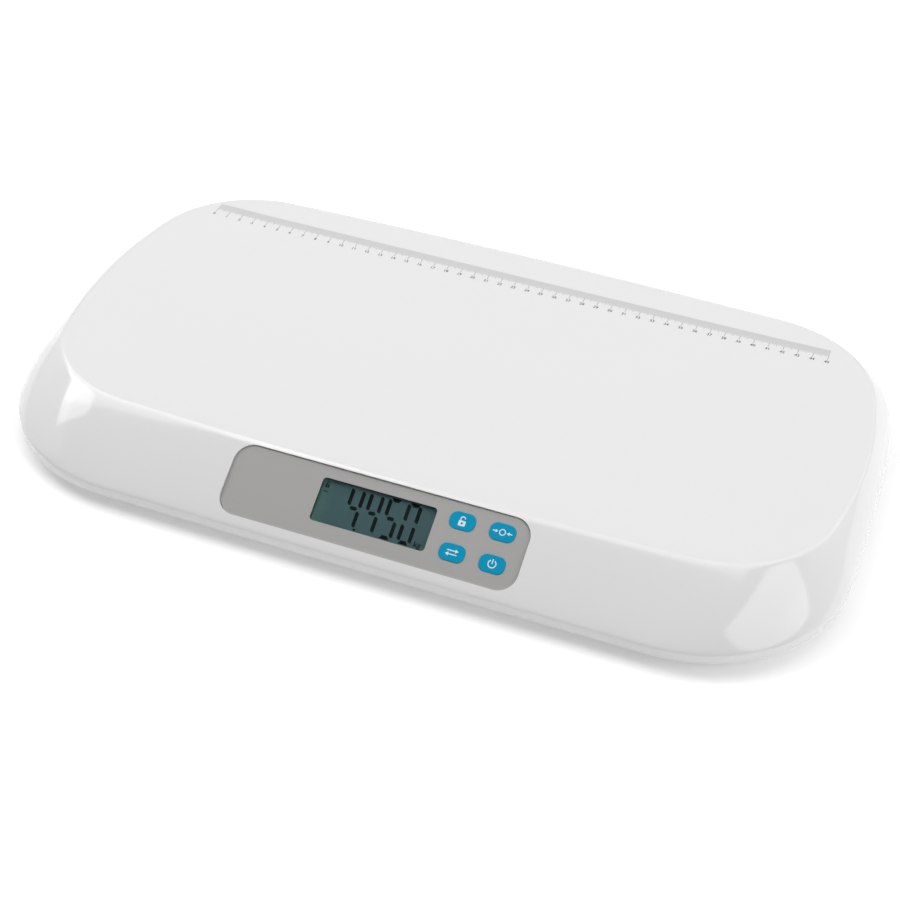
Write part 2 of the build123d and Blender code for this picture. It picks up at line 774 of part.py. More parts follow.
with BuildPart() as buzzer:
    add(rod(at_panel(board_underside + 4.5, board_x + 34, board_y - 7), 6.0, 4.5))
    add(rod(at_panel(board_underside + 4.5, board_x + 34, board_y - 7), 1.0, 1.5), mode=Mode.SUBTRACT)
write_part(buzzer, "buzzer")

with BuildPart() as sensor_headers:
    for side in (-1, 1):
        header_plane = at_panel(plug_depth, board_x + side * sensor_header_x, header_y)
        add(slab(header_plane, 4 * lead_pitch, header_depth, header_height))
write_part(sensor_headers, "sensor_headers")

with BuildPart() as battery_header:
    add(slab(at_panel(plug_depth, board_x, header_y), 2.2 * lead_pitch, header_depth, header_height))
write_part(battery_header, "battery_header")

# ---------------------------------------------------------------- keys and their switches
with BuildPart() as switch_bodies:
    for x, y in key_spots.values():
        add(slab(at_panel(board_depth, x, y), switch_size, switch_size, switch_height))
        bore_depth = stem_back + key_travel + bore_end_gap
        bore_length = bore_depth - board_depth + switch_height
        add(rod(at_panel(bore_depth, x, y), stem_radius + stem_fit, bore_length), mode=Mode.SUBTRACT)
write_part(switch_bodies, "switch_bodies")

for name, (x, y) in key_spots.items():
    with BuildPart() as key:
        cap_plane = at_panel(panel_thickness, x, y)
        add(slab(cap_plane, key_width, key_height, panel_thickness + key_proud, key_corner))
        cap_face = key.faces().sort_by(Axis(panel_plane.origin, panel_plane.z_dir))[-1]
        fillet(cap_face.edges(), 0.4)
        add(
            slab(
                at_panel(flange_back, x, y),
                key_width + 2 * key_flange,
                key_height + 2 * key_flange,
                key_flange_thickness,
                key_corner + key_flange,
            )
        )
        add(rod(at_panel(post_back, x, y), key_post / 2, key_post_length))
    write_part(key, f"key_{name}")
    with BuildPart() as stem:
        add(rod(at_panel(stem_back, x, y), stem_radius, stem_length))
    write_part(stem, f"stem_{name}")

# ---------------------------------------------------------------- load cells and feet
for name in corners:
    x, y = foot_spot(name)
    open_side = lead_side(name)
    middle = upright(x, y, cell_bottom)
    with BuildPart() as load_cell:
        add(slab(middle, cell_size, cell_size, cell_thickness, cell_corner))
        with BuildSketch(middle):
            Rectangle(slot_size + 2 * slot_width, slot_size + 2 * slot_width)
            Rectangle(slot_size, slot_size, mode=Mode.SUBTRACT)
            with Locations((open_side * (slot_size + slot_width) / 2, 0)):
                Rectangle(slot_width, slot_size - 4, mode=Mode.SUBTRACT)
        extrude(amount=cell_thickness, mode=Mode.SUBTRACT)
        with BuildSketch(middle):
            with GridLocations(2 * cell_screw_spread, 2 * cell_screw_spread, 2, 2):
                Circle(cell_screw_radius + screw_fit)
        extrude(amount=cell_thickness, mode=Mode.SUBTRACT)
    write_part(load_cell, f"load_cell_{name}")

    with BuildPart() as foot_cup:
        add(rod(upright(x, y, foot_bottom), foot_radius, foot_top - foot_bottom))
        edges = foot_cup.edges().filter_by(GeomType.CIRCLE)
        fillet(edges, 1.0)
        add(rod(upright(x, y, foot_bottom), pad_radius + pad_fit, pad_depth), mode=Mode.SUBTRACT)
        add(rod(upright(x, y, foot_top), stub_radius, cell_bottom - foot_top))
        for turn in (60, 180, 300):
            heading = turn if open_side > 0 else turn + 180
            with BuildSketch(upright(x, y, foot_top - 1.5)):
                with PolarLocations(foot_radius - prong_wall / 2, 1, start_angle=heading):
                    Rectangle(prong_wall, prong_width)
            extrude(amount=prong_top - foot_top + 1.5)
            barb_middle = foot_radius - prong_wall / 2 + barb_reach / 2
            with BuildSketch(upright(x, y, barb_bottom)):
                with PolarLocations(barb_middle, 1, start_angle=heading):
                    Rectangle(prong_wall + barb_reach, prong_width)
            extrude(amount=barb_height)
    write_part(foot_cup, f"foot_cup_{name}")

    with BuildPart() as foot_pad:
        add(rod(upright(x, y, 0), pad_radius, foot_bottom + pad_depth))
        fillet(foot_pad.edges().filter_by(GeomType.CIRCLE).group_by(Axis.Z)[0], 0.8)
        for ring in (6.0, 11.0):
            with BuildSketch(upright(x, y, 0)):
                Circle(ring + 0.6)
                Circle(ring - 0.6, mode=Mode.SUBTRACT)
            extrude(amount=0.6, mode=Mode.SUBTRACT)
    write_part(foot_pad, f"foot_pad_{name}")

with BuildPart() as cell_screws:
    for name in corners:
        x, y = foot_spot(name)
        for across in (-1, 1):
            for back in (-1, 1):
                at = (x + across * cell_screw_spread, y + back * cell_screw_spread)
                head = upright(*at, cell_bottom - cell_screw_head_height)
                add(rod(head, cell_screw_head_radius, cell_screw_head_height))
                add(rod(upright(*at, cell_bottom), cell_screw_radius, cell_screw_length))
                add(slab(head, 2.8, 0.5, 0.6), mode=Mode.SUBTRACT)
write_part(cell_screws, "cell_screws")

with BuildPart() as gauge_covers:
    for name in corners:
        x, y = foot_spot(name)
        cover_plane = upright(x + lead_side(name) * gauge_cover_x, y, cell_bottom - gauge_cover_height)
        add(slab(cover_plane, gauge_cover_length, gauge_cover_width, gauge_cover_height, 1.0))
write_part(gauge_covers, "gauge_covers")


# ---------------------------------------------------------------- leads
def lead(route, radius):
    """A round lead or wire along its route, with arcs as large as the runs allow."""
    with BuildPart() as cable:
        with BuildLine():
            path = FilletPolyline(*route, radius=bend_radii(route))
        with BuildSketch(Plane(origin=path @ 0, z_dir=path % 0)):
            Circle(radius)
        sweep(path=path)
    return cable


for name, route in sensor_routes.items():
    write_part(lead(route, lead_radius), f"sensor_lead_{name}")

for colour, route in battery_routes.items():
    write_part(lead(route, battery_lead_radius), f"battery_lead_{colour}")

# ---------------------------------------------------------------- batteries and their contacts
contact_x = bay_length / 2 - contact_thickness


def cell_y(k):
    """The y of a battery's middle line, counted from the front."""
    return bay_y + (k - (battery_count - 1) / 2) * cell_pitch


def contact_plane(end, y):
    """The inner face of a contact plate at the bay's left (-1) or right (1) end."""
    return Plane(origin=(end * contact_x, y, cell_axis_height), x_dir=(0, 1, 0), z_dir=(-end, 0, 0))


def contact_plate(end, first, last):
    """A plate behind batteries first to last, at one end of the bay."""
    middle = (cell_y(first) + cell_y(last)) / 2
    width = (last - first) * cell_pitch + contact_height
    back_face = contact_plane(end, middle).offset(-contact_thickness)
    return slab(back_face, width, contact_height, contact_thickness)


def contact_spring(end, k):
    """The conical spring that presses on a battery's flat end."""
    seat = contact_plane(end, cell_y(k))
    height = spring_room - spring_wire
    steps = round(height / spring_pitch * spring_corners)
    coil = []
    for step in range(steps + 1):
        rise = height * step / steps
        turn = 2 * pi * step / spring_corners
        radius = spring_radius - spring_taper * rise
        coil.append(seat.from_local_coords(Vector(radius * cos(turn), radius * sin(turn), rise)))
    return lead(coil, spring_wire).part


def solder_tab(k):
    """The tab that passes through the bay's right wall to a battery lead."""
    tab_length = tab_end - contact_x
    tab_bottom = battery_lead_height - contact_thickness / 2
    tab_plane = upright(contact_x + tab_length / 2, cell_y(k), tab_bottom)
    return slab(tab_plane, tab_length, tab_width, contact_thickness)


for k in range(battery_count):
    nub_end = 1 if k % 2 == 0 else -1
    with BuildPart() as battery:
        tip = contact_plane(nub_end, cell_y(k))
        can = tip.offset(cell_nub_length)
        add(rod(can, cell_diameter / 2, cell_length - cell_nub_length))
        fillet(battery.edges().filter_by(GeomType.CIRCLE), 0.6)
        add(rod(tip, cell_nub_radius, cell_nub_length + 0.2))
    write_part(battery, f"battery_{k + 1}")

with BuildPart() as positive_contact:
    add(contact_plate(1, 0, 0))
    add(solder_tab(0))
write_part(positive_contact, "positive_contact")

with BuildPart() as negative_contact:
    last = battery_count - 1
    add(contact_plate(1, last, last))
    add(contact_spring(1, last))
    add(solder_tab(last))
write_part(negative_contact, "negative_contact")

with BuildPart() as battery_bridges:
    for k in range(battery_count - 1):
        end = -1 if k % 2 == 0 else 1
        add(contact_plate(end, k, k + 1))
        add(contact_spring(end, k))
write_part(battery_bridges, "battery_bridges")

# ---------------------------------------------------------------- housing screws
with BuildPart() as housing_screws:
    for x, y in screw_spots:
        seat = base_bottom + screw_well_depth
        head = upright(x, y, seat - screw_head_height)
        add(rod(head, screw_head_radius, screw_head_height))
        add(rod(upright(x, y, seat), screw_shank_radius, screw_length))
        for turn in (0, 90):
            cross = head.rotated((0, 0, turn))
            add(slab(cross, 3.4, 0.7, 1.0), mode=Mode.SUBTRACT)
write_part(housing_screws, "housing_screws")
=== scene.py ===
"""Finishes, printing and studio for the digital baby weighing scale."""

import json
from functools import lru_cache
from math import atan2, cos, hypot, pi, radians, sin, sqrt

import bmesh
import bpy
from mathutils import Matrix, Vector
from mathutils.bvhtree import BVHTree


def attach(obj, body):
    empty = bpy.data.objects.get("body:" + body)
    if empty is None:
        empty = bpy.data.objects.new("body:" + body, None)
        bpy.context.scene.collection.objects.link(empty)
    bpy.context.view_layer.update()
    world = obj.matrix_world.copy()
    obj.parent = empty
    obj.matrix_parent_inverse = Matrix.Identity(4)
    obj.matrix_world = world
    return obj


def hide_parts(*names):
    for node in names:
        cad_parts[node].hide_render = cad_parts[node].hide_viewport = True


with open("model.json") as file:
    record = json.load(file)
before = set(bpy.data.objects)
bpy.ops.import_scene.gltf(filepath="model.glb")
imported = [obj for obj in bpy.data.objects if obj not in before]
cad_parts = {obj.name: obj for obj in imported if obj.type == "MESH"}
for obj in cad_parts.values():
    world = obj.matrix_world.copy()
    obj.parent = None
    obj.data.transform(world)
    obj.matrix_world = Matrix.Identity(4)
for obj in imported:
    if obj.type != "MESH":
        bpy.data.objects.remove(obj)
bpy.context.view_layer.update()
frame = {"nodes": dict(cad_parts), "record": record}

MM = 0.001

# ---------------------------------------------------------------- sizes of the shell, in millimetres
LIP_HALF_LENGTH = 275.0
LIP_HALF_WIDTH = 168.0
LIP_HEIGHT = 14.0
LIP_CORNER = 100.0
LIP_SIDE_BULGE = 1.6
LIP_END_BULGE = 8.2
LIP_SOFTNESS = 0.04  # how gently the front apron leaves the lip
CREST_HEIGHT = 44.0
CREST_INSET_FRONT = 45.3
CREST_INSET_BACK = 23.7
CREST_INSET_END = 11.3
CREST_CORNER = 76.0
CREST_SIDE_BULGE = 6.4
CREST_END_BULGE = 27.0
BACK_FULLNESS = 1.8  # above 1, the shell bulges outwards between lip and crest
END_FULLNESS = 2.2
SKIRT_HEIGHT = 8.2  # how high the shell's lower edge stands
SKIRT_UNDERCUT = 0.5  # how far its lower edge is inside the lip
SKIRT_WALL = 2.0  # the skirt is thinner where it laps over the base
SKIRT_LAP = 2.0  # how far it laps
DISH_DEPTH = 2.2  # how far the tray sinks
DISH_RIM = 3.5  # the level margin inside the crest
DISH_RAMP = 55.0  # over what distance it sinks
SIDE_WALL = 3.0
APRON_DROP = 1.5  # how far the inner side stays below the outer one
TRAY_WALL = 2.6
CEILING_STEP = 9.0  # how far the inner ceiling's edge is inside the apron's wall
PANEL_WALL = 3.0  # extra wall behind the display panel
PANEL_WALL_GROWTH = 4.0  # it is full a quarter of the way up to the ceiling
SOFT_CREASE = 2.6  # reach of the rounding between tray and front apron
CRISP_CREASE = 1.3  # the same at the ends and the back
FRONT_SLANT = 54.0  # rough length of the front apron from lip to crest
OTHER_SLANT = 39.0  # the same at the ends and the back
APRON_SWELL = 1.5  # how far the middle of the front apron stands forward of a flat one

APRON_RISE = CREST_HEIGHT - LIP_HEIGHT
FULL_SOFTNESS = hypot(1, LIP_SOFTNESS) - LIP_SOFTNESS

# ---------------------------------------------------------------- the display panel's place
PANEL_WIDTH = 189.7
PANEL_HEIGHT = 45.8
PANEL_CORNER = 12.0
PANEL_FIT = 0.15  # the gap all round it
PANEL_THICKNESS = 1.5
PANEL_SINK = 1.2  # how far its face lies below a flat apron
PANEL_X = -3.2
PANEL_MARGIN = 1.2  # from the crest to the panel's upper edge
PANEL_REACH = PANEL_MARGIN + PANEL_HEIGHT / 2
PANEL_TILT = atan2(APRON_RISE * FULL_SOFTNESS, CREST_INSET_FRONT)
PANEL_Y = CREST_INSET_FRONT - LIP_HALF_WIDTH - PANEL_REACH * cos(PANEL_TILT) + PANEL_SINK * sin(PANEL_TILT)
PANEL_Z = CREST_HEIGHT - PANEL_REACH * sin(PANEL_TILT) - PANEL_SINK * cos(PANEL_TILT)
OPENING_X = 22.75
OPENING_Y = 1.75
OPENING_WIDTH = 131.5
OPENING_HEIGHT = 37.0
OPENING_CORNER = 2.0
OPENING_DEPTH = 14.0
LCD_DEPTH = 3.0
KEY_PROUD = 0.5
KEY_MIDDLES = {
    "hold": (53.0, 11.725),
    "tare": (77.9, 11.725),
    "unit": (53.0, -8.225),
    "power": (77.9, -8.225),
}

PANEL_MIDDLE = Vector((PANEL_X, PANEL_Y, PANEL_Z)) * MM
PANEL_FRAME = Matrix.Translation(PANEL_MIDDLE) @ Matrix.Rotation(PANEL_TILT, 4, "X")


# ---------------------------------------------------------------- material helpers
PATTERN_MIDDLE = 0.5  # a noise texture runs from 0 to 1


def feed(tree, socket, value):
    """Links another socket to a socket, or sets its number or colour."""
    if isinstance(value, bpy.types.NodeSocket):
        tree.links.new(value, socket)
    else:
        socket.default_value = value


def object_place(tree):
    """Where a point is on its piece."""
    return tree.nodes.new("ShaderNodeTexCoord").outputs["Object"]


def along_length(tree):
    """How far along X a point is."""
    split = tree.nodes.new("ShaderNodeSeparateXYZ")
    feed(tree, split.inputs["Vector"], object_place(tree))
    return split.outputs["X"]


def noise(tree, vector, scale, detail):
    """A noise texture."""
    node = tree.nodes.new("ShaderNodeTexNoise")
    feed(tree, node.inputs["Vector"], vector)
    feed(tree, node.inputs["Scale"], scale)
    feed(tree, node.inputs["Detail"], detail)
    return node.outputs["Fac"]


def maths(tree, operation, first, second):
    """A Math node on two sockets or numbers."""
    node = tree.nodes.new("ShaderNodeMath")
    node.operation = operation
    feed(tree, node.inputs[0], first)
    feed(tree, node.inputs[1], second)
    return node.outputs["Value"]


def varied(tree, middle, pattern, spread):
    """A value that goes up and down about its middle with a pattern."""
    swing = maths(tree, "MULTIPLY", maths(tree, "SUBTRACT", pattern, PATTERN_MIDDLE), spread)
    return maths(tree, "ADD", middle, swing)


def ramp(tree, value, starts, ends, low, high):
    """A Map Range node that goes from low to high as the value goes from one number to another."""
    node = tree.nodes.new("ShaderNodeMapRange")
    feed(tree, node.inputs["Value"], value)
    feed(tree, node.inputs["From Min"], starts)
    feed(tree, node.inputs["From Max"], ends)
    feed(tree, node.inputs["To Min"], low)
    feed(tree, node.inputs["To Max"], high)
    return node


def tinted(tree, colour, strength, tint):
    """The colour mixed towards another one by a strength."""
    node = tree.nodes.new("ShaderNodeMix")
    node.data_type = "RGBA"
    feed(tree, node.inputs["Factor"], strength)
    feed(tree, node.inputs["A"], colour)
    feed(tree, node.inputs["B"], tint)
    return node.outputs["Result"]


def pressed(tree, height, depth):
    """The normal of a surface with a pattern pressed into it."""
    bump = tree.nodes.new("ShaderNodeBump")
    feed(tree, bump.inputs["Height"], height)
    feed(tree, bump.inputs["Distance"], depth)
    return bump.outputs["Normal"]


# ---------------------------------------------------------------- effects that finishes share
SURFACE_OUTPUTS = (
    ("Colour", "NodeSocketColor"),
    ("Roughness", "NodeSocketFloat"),
    ("Normal", "NodeSocketVector"),
)
MOTTLE_DETAIL = 3
GRAIN_DETAIL = 2
PATCH_DETAIL = 5
PATCH_STARTS, PATCH_ENDS = 0.52, 0.72  # noise levels between which a handled patch fades in
STREAK_DETAIL = 4
STREAK_STRETCH = (0.08, 1, 1)  # long along X
STREAK_SPREAD = 0.25
STREAK_DEPTH = 0.00002


def new_group(name, inputs, outputs):
    """A shader node group: inputs as (name, kind, value), outputs as (name, kind)."""
    group = bpy.data.node_groups.new(name, "ShaderNodeTree")
    for socket, kind, value in inputs:
        group.interface.new_socket(socket, in_out="INPUT", socket_type=kind).default_value = value
    for socket, kind in outputs:
        group.interface.new_socket(socket, in_out="OUTPUT", socket_type=kind)
    return group, group.nodes.new("NodeGroupInput").outputs, group.nodes.new("NodeGroupOutput").inputs


def make_moulded():
    """Moulded plastic: slow changes of tone and gloss, and a fine grain pressed into the surface."""
    inputs = (
        ("Colour", "NodeSocketColor", (0.8, 0.8, 0.8, 1)),
        ("Shade Colour", "NodeSocketColor", (0.7, 0.7, 0.7, 1)),
        ("Mottle Scale", "NodeSocketFloat", 12.0),
        ("Mottle", "NodeSocketFloat", 0.3),
        ("Grain Scale", "NodeSocketFloat", 1500.0),
        ("Grain Depth", "NodeSocketFloat", 0.00001),
        ("Roughness", "NodeSocketFloat", 0.3),
        ("Roughness Spread", "NodeSocketFloat", 0.05),
    )
    group, given, result = new_group("moulded", inputs, SURFACE_OUTPUTS)
    place = object_place(group)
    mottle = noise(group, place, given["Mottle Scale"], MOTTLE_DETAIL)
    grain = noise(group, place, given["Grain Scale"], GRAIN_DETAIL)
    shade = maths(group, "MULTIPLY", mottle, given["Mottle"])
    feed(group, result["Colour"], tinted(group, given["Colour"], shade, given["Shade Colour"]))
    feed(group, result["Roughness"], varied(group, given["Roughness"], mottle, given["Roughness Spread"]))
    feed(group, result["Normal"], pressed(group, grain, given["Grain Depth"]))
    return group


def make_handled():
    """Faint fingerprints and dust: a mask for glossy surfaces that are touched."""
    inputs = (("Scale", "NodeSocketFloat", 40.0), ("Amount", "NodeSocketFloat", 0.05))
    group, given, result = new_group("handled", inputs, (("Mask", "NodeSocketFloat"),))
    patches = noise(group, object_place(group), given["Scale"], PATCH_DETAIL)
    mask = ramp(group, patches, PATCH_STARTS, PATCH_ENDS, 0.0, given["Amount"])
    feed(group, result["Mask"], mask.outputs["Result"])
    return group


def make_drawn():
    """Rolled or turned metal: fine streaks along X."""
    inputs = (
        ("Colour", "NodeSocketColor", (0.6, 0.6, 0.6, 1)),
        ("Dark Colour", "NodeSocketColor", (0.4, 0.4, 0.4, 1)),
        ("Streak Scale", "NodeSocketFloat", 400.0),
        ("Roughness", "NodeSocketFloat", 0.3),
    )
    group, given, result = new_group("drawn", inputs, SURFACE_OUTPUTS)
    stretch = group.nodes.new("ShaderNodeMapping")
    stretch.inputs["Scale"].default_value = STREAK_STRETCH
    feed(group, stretch.inputs["Vector"], object_place(group))
    streaks = noise(group, stretch.outputs["Vector"], given["Streak Scale"], STREAK_DETAIL)
    feed(group, result["Colour"], tinted(group, given["Colour"], streaks, given["Dark Colour"]))
    feed(group, result["Roughness"], varied(group, given["Roughness"], streaks, STREAK_SPREAD))
    feed(group, result["Normal"], pressed(group, streaks, STREAK_DEPTH))
    return group


MOULDED = make_moulded()
HANDLED = make_handled()
DRAWN = make_drawn()


# ---------------------------------------------------------------- finishes
def new_material(name):
    """A material with its node tree and its shader."""
    material = bpy.data.materials.new(name)
    material.use_nodes = True
    return material, material.node_tree, material.node_tree.nodes["Principled BSDF"]


def place_group(tree, group, values):
    """Places a node group in a material, sets its values and gives its outputs."""
    node = tree.nodes.new("ShaderNodeGroup")
    node.node_tree = group
    for name, value in values.items():
        node.inputs[name].default_value = value
    return node.outputs


def finish_with(name, group, values, shader_values):
    """A material whose colour, roughness and surface come from a node group."""
    material, tree, shader = new_material(name)
    for socket, value in shader_values.items():
        shader.inputs[socket].default_value = value
    made = place_group(tree, group, values)
    feed(tree, shader.inputs["Base Color"], made["Colour"])
    feed(tree, shader.inputs["Roughness"], made["Roughness"])
    feed(tree, shader.inputs["Normal"], made["Normal"])
    return material


def plastic(name, colour, shade, roughness, grain_scale, grain_depth, spread=0.06, specular=0.5):
    """A moulded plastic, rubber or ink."""
    values = {
        "Colour": (*colour, 1),
        "Shade Colour": (*shade, 1),
        "Roughness": roughness,
        "Roughness Spread": spread,
        "Grain Scale": grain_scale,
        "Grain Depth": grain_depth,
    }
    return finish_with(name, MOULDED, values, {"Specular IOR Level": specular})


def metal(name, colour, dark, roughness, streak_scale):
    """A metal with fine streaks."""
    values = {
        "Colour": (*colour, 1),
        "Dark Colour": (*dark, 1),
        "Roughness": roughness,
        "Streak Scale": streak_scale,
    }
    return finish_with(name, DRAWN, values, {"Metallic": 1.0})


def own_shader(material):
    """A finish's node tree, its shader, and the sockets that now feed its colour and roughness."""
    tree = material.node_tree
    shader = tree.nodes["Principled BSDF"]
    colour, roughness = (shader.inputs[name].links[0].from_socket for name in ("Base Color", "Roughness"))
    return tree, shader, colour, roughness


def add_handling(material, scale, amount):
    """Makes a glossy finish a little duller where it is touched."""
    tree, shader, _, roughness = own_shader(material)
    mask = place_group(tree, HANDLED, {"Scale": scale, "Amount": amount})["Mask"]
    feed(tree, shader.inputs["Roughness"], maths(tree, "ADD", roughness, mask))


def make_window():
    """Clear acrylic, faintly handled."""
    material, tree, shader = new_material("clear_acrylic")
    shader.inputs["Base Color"].default_value = (0.93, 0.97, 0.96, 1)
    shader.inputs["Transmission Weight"].default_value = 1.0
    shader.inputs["IOR"].default_value = 1.35
    mask = place_group(tree, HANDLED, {"Scale": 60.0, "Amount": 0.02})["Mask"]
    feed(tree, shader.inputs["Roughness"], mask)
    return material


GLASS_PALE = (0.17, 0.36, 0.3, 1)
PALE_STARTS, PALE_ENDS = -0.029, -0.041  # along X, in metres
PALE_SHARE = 0.6


def make_lcd():
    """The grey-green reflective glass of the display, a little paler at its left end."""
    glass = (0.125, 0.228, 0.25)
    glass_shade = (0.11, 0.2, 0.22)
    material = plastic("display_glass", glass, glass_shade, 0.4, 900.0, 0.000001, specular=0.2)
    tree, shader, colour, _ = own_shader(material)
    fade = ramp(tree, along_length(tree), PALE_STARTS, PALE_ENDS, 0.0, PALE_SHARE)
    fade.interpolation_type = "SMOOTHERSTEP"
    feed(tree, shader.inputs["Base Color"], tinted(tree, colour, fade.outputs["Result"], GLASS_PALE))
    return material


SLEEVE_COPPER = (0.55, 0.24, 0.1, 1)
SLEEVE_STEEL = (0.6, 0.6, 0.58, 1)
BAND_STARTS, CAP_STARTS, FOOT_ENDS = 0.0155, 0.0231, -0.0194  # from a battery's middle, in metres


def make_sleeve(name, side):
    """A plain battery sleeve with a copper band and steel ends; side is where the raised end points."""
    material = metal(name, (0.03, 0.035, 0.05), (0.018, 0.02, 0.03), 0.32, 120.0)
    tree, shader, colour, _ = own_shader(material)
    along = maths(tree, "MULTIPLY", along_length(tree), side)
    band = maths(tree, "GREATER_THAN", along, BAND_STARTS)
    cap = maths(tree, "GREATER_THAN", along, CAP_STARTS)
    foot = maths(tree, "LESS_THAN", along, FOOT_ENDS)
    with_band = tinted(tree, colour, band, SLEEVE_COPPER)
    with_ends = tinted(tree, with_band, maths(tree, "MAXIMUM", cap, foot), SLEEVE_STEEL)
    feed(tree, shader.inputs["Base Color"], with_ends)
    return material


# a plastic: name, colour, colour of its mottling, roughness, grain scale, grain depth in metres
# a metal: name, colour, colour of its streaks, roughness, streak scale
shell_white = plastic(
    "gloss_white", (0.86, 0.858, 0.856), (0.835, 0.834, 0.833), 0.08, 260.0, 0.0000012, spread=0.03
)
add_handling(shell_white, 14.0, 0.03)
print_grey = plastic("print_grey", (0.65, 0.65, 0.65), (0.61, 0.61, 0.61), 0.42, 2500.0, 0.000002)
print_mid = plastic("print_mid", (0.4, 0.405, 0.41), (0.36, 0.365, 0.37), 0.45, 2500.0, 0.000002)
print_dark = plastic("print_dark", (0.09, 0.095, 0.1), (0.12, 0.12, 0.12), 0.45, 2500.0, 0.000002)
print_white = plastic("print_white", (0.86, 0.9, 0.91), (0.8, 0.84, 0.86), 0.5, 2500.0, 0.000002)
segment_ink = plastic(
    "display_segments", (0.003, 0.007, 0.011), (0.005, 0.01, 0.015), 0.5, 900.0, 0.000001, specular=0.1
)
finishes = {
    "shell_white": shell_white,
    "base_white": plastic("satin_white", (0.78, 0.785, 0.79), (0.72, 0.725, 0.73), 0.42, 2200.0, 0.00001),
    "panel_grey": plastic("panel_grey", (0.435, 0.431, 0.424), (0.4, 0.396, 0.39), 0.42, 2600.0, 0.000006),
    "window": make_window(),
    "lcd": make_lcd(),
    "key_blue": plastic(
        "key_blue", (0.0, 0.335, 0.565), (0.0, 0.31, 0.53), 0.55, 2400.0, 0.000006, specular=0.1
    ),
    "gasket": plastic("foam_black", (0.02, 0.02, 0.02), (0.035, 0.035, 0.035), 0.9, 1800.0, 0.00005),
    "frame_white": plastic("frame_white", (0.72, 0.72, 0.7), (0.66, 0.66, 0.64), 0.45, 1800.0, 0.00001),
    "backlight": plastic("diffuser", (0.8, 0.82, 0.78), (0.75, 0.77, 0.73), 0.3, 600.0, 0.000004),
    "zebra": plastic("strip_pink", (0.5, 0.24, 0.22), (0.4, 0.19, 0.17), 0.6, 1500.0, 0.00001),
    "board_green": plastic("board_green", (0.012, 0.12, 0.04), (0.02, 0.17, 0.06), 0.25, 700.0, 0.00001),
    "black_plastic": plastic("case_black", (0.02, 0.02, 0.022), (0.03, 0.03, 0.032), 0.5, 2400.0, 0.00001),
    "connector_white": plastic("nylon", (0.74, 0.73, 0.66), (0.68, 0.66, 0.58), 0.45, 1500.0, 0.00001),
    "can_metal": metal("can_metal", (0.75, 0.75, 0.75), (0.62, 0.62, 0.63), 0.25, 400.0),
    "screw_steel": metal("zinc_plate", (0.62, 0.63, 0.65), (0.45, 0.46, 0.47), 0.32, 900.0),
    "cell_steel": metal("stamped_steel", (0.6, 0.61, 0.62), (0.47, 0.48, 0.49), 0.38, 500.0),
    "gauge_silicone": plastic("silicone", (0.74, 0.74, 0.71), (0.68, 0.68, 0.64), 0.4, 700.0, 0.00004),
    "foot_plastic": plastic("foot_grey", (0.62, 0.63, 0.64), (0.56, 0.57, 0.58), 0.5, 2200.0, 0.00001),
    "foot_rubber": plastic(
        "rubber_black", (0.022, 0.022, 0.022), (0.045, 0.044, 0.042), 0.78, 1500.0, 0.00003
    ),
    "lead_white": plastic("sleeve_white", (0.7, 0.7, 0.69), (0.62, 0.62, 0.6), 0.42, 900.0, 0.00001),
    "lead_red": plastic("sleeve_red", (0.5, 0.02, 0.012), (0.4, 0.015, 0.01), 0.42, 900.0, 0.00001),
    "lead_black": plastic("sleeve_black", (0.015, 0.015, 0.015), (0.03, 0.03, 0.03), 0.42, 900.0, 0.00001),
    "battery": make_sleeve("battery_right", 1.0),
    "contact_nickel": metal("nickel", (0.78, 0.75, 0.69), (0.62, 0.59, 0.53), 0.2, 700.0),
    "hinge_steel": metal("ground_steel", (0.6, 0.6, 0.6), (0.48, 0.48, 0.48), 0.25, 900.0),
}
battery_left = make_sleeve("battery_left", -1.0)

for subpart in frame["record"]["subparts"]:
    node = frame["nodes"][subpart["node"]]
    node.data.materials.clear()
    node.data.materials.append(finishes[subpart["material_slot"]])
for name in ("battery_2", "battery_4"):
    frame["nodes"][name].data.materials[0] = battery_left


# ---------------------------------------------------------------- mesh helpers
SHARP_EDGE = radians(35)  # edges that turn more than this are shown sharp
MERGE_WITHIN = 0.000001


def add_object(name, work):
    """Makes a bmesh an object of the scene."""
    mesh = bpy.data.meshes.new(name)
    work.to_mesh(mesh)
    work.free()
    made = bpy.data.objects.new(name, mesh)
    bpy.context.scene.collection.objects.link(made)
    return made


def finish_piece(name, work, material, body):
    """Makes a bmesh a finished piece that rides on a body."""
    bmesh.ops.recalc_face_normals(work, faces=work.faces)
    piece = add_object(name, work)
    piece.data.materials.append(material)
    piece.data.shade_smooth()
    piece.data.set_sharp_from_angle(angle=SHARP_EDGE)
    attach(piece, body)
    return piece


def ring_of(work, points):
    """A closed loop of new vertices joined by edges."""
    ring = [work.verts.new(point) for point in points]
    for first, second in zip(ring, ring[1:] + ring[:1]):
        work.edges.new((first, second))
    return ring


def next_ring(work, ring, points):
    """Extrudes a closed loop and moves the new one to its points."""
    edges = [work.edges.get((first, second)) for first, second in zip(ring, ring[1:] + ring[:1])]
    made = bmesh.ops.extrude_edge_only(work, edges=edges)["geom"]
    fresh = {item for item in made if isinstance(item, bmesh.types.BMVert)}
    moved = []
    for vertex, point in zip(ring, points):
        neighbours = [edge.other_vert(vertex) for edge in vertex.link_edges]
        raised = next(neighbour for neighbour in neighbours if neighbour in fresh)
        raised.co = point
        moved.append(raised)
    return moved


def thicken(work, height):
    """Extrudes flat faces upwards into closed solids."""
    made = bmesh.ops.extrude_face_region(work, geom=list(work.faces))["geom"]
    raised = [item for item in made if isinstance(item, bmesh.types.BMVert)]
    bmesh.ops.translate(work, verts=raised, vec=(0, 0, height))


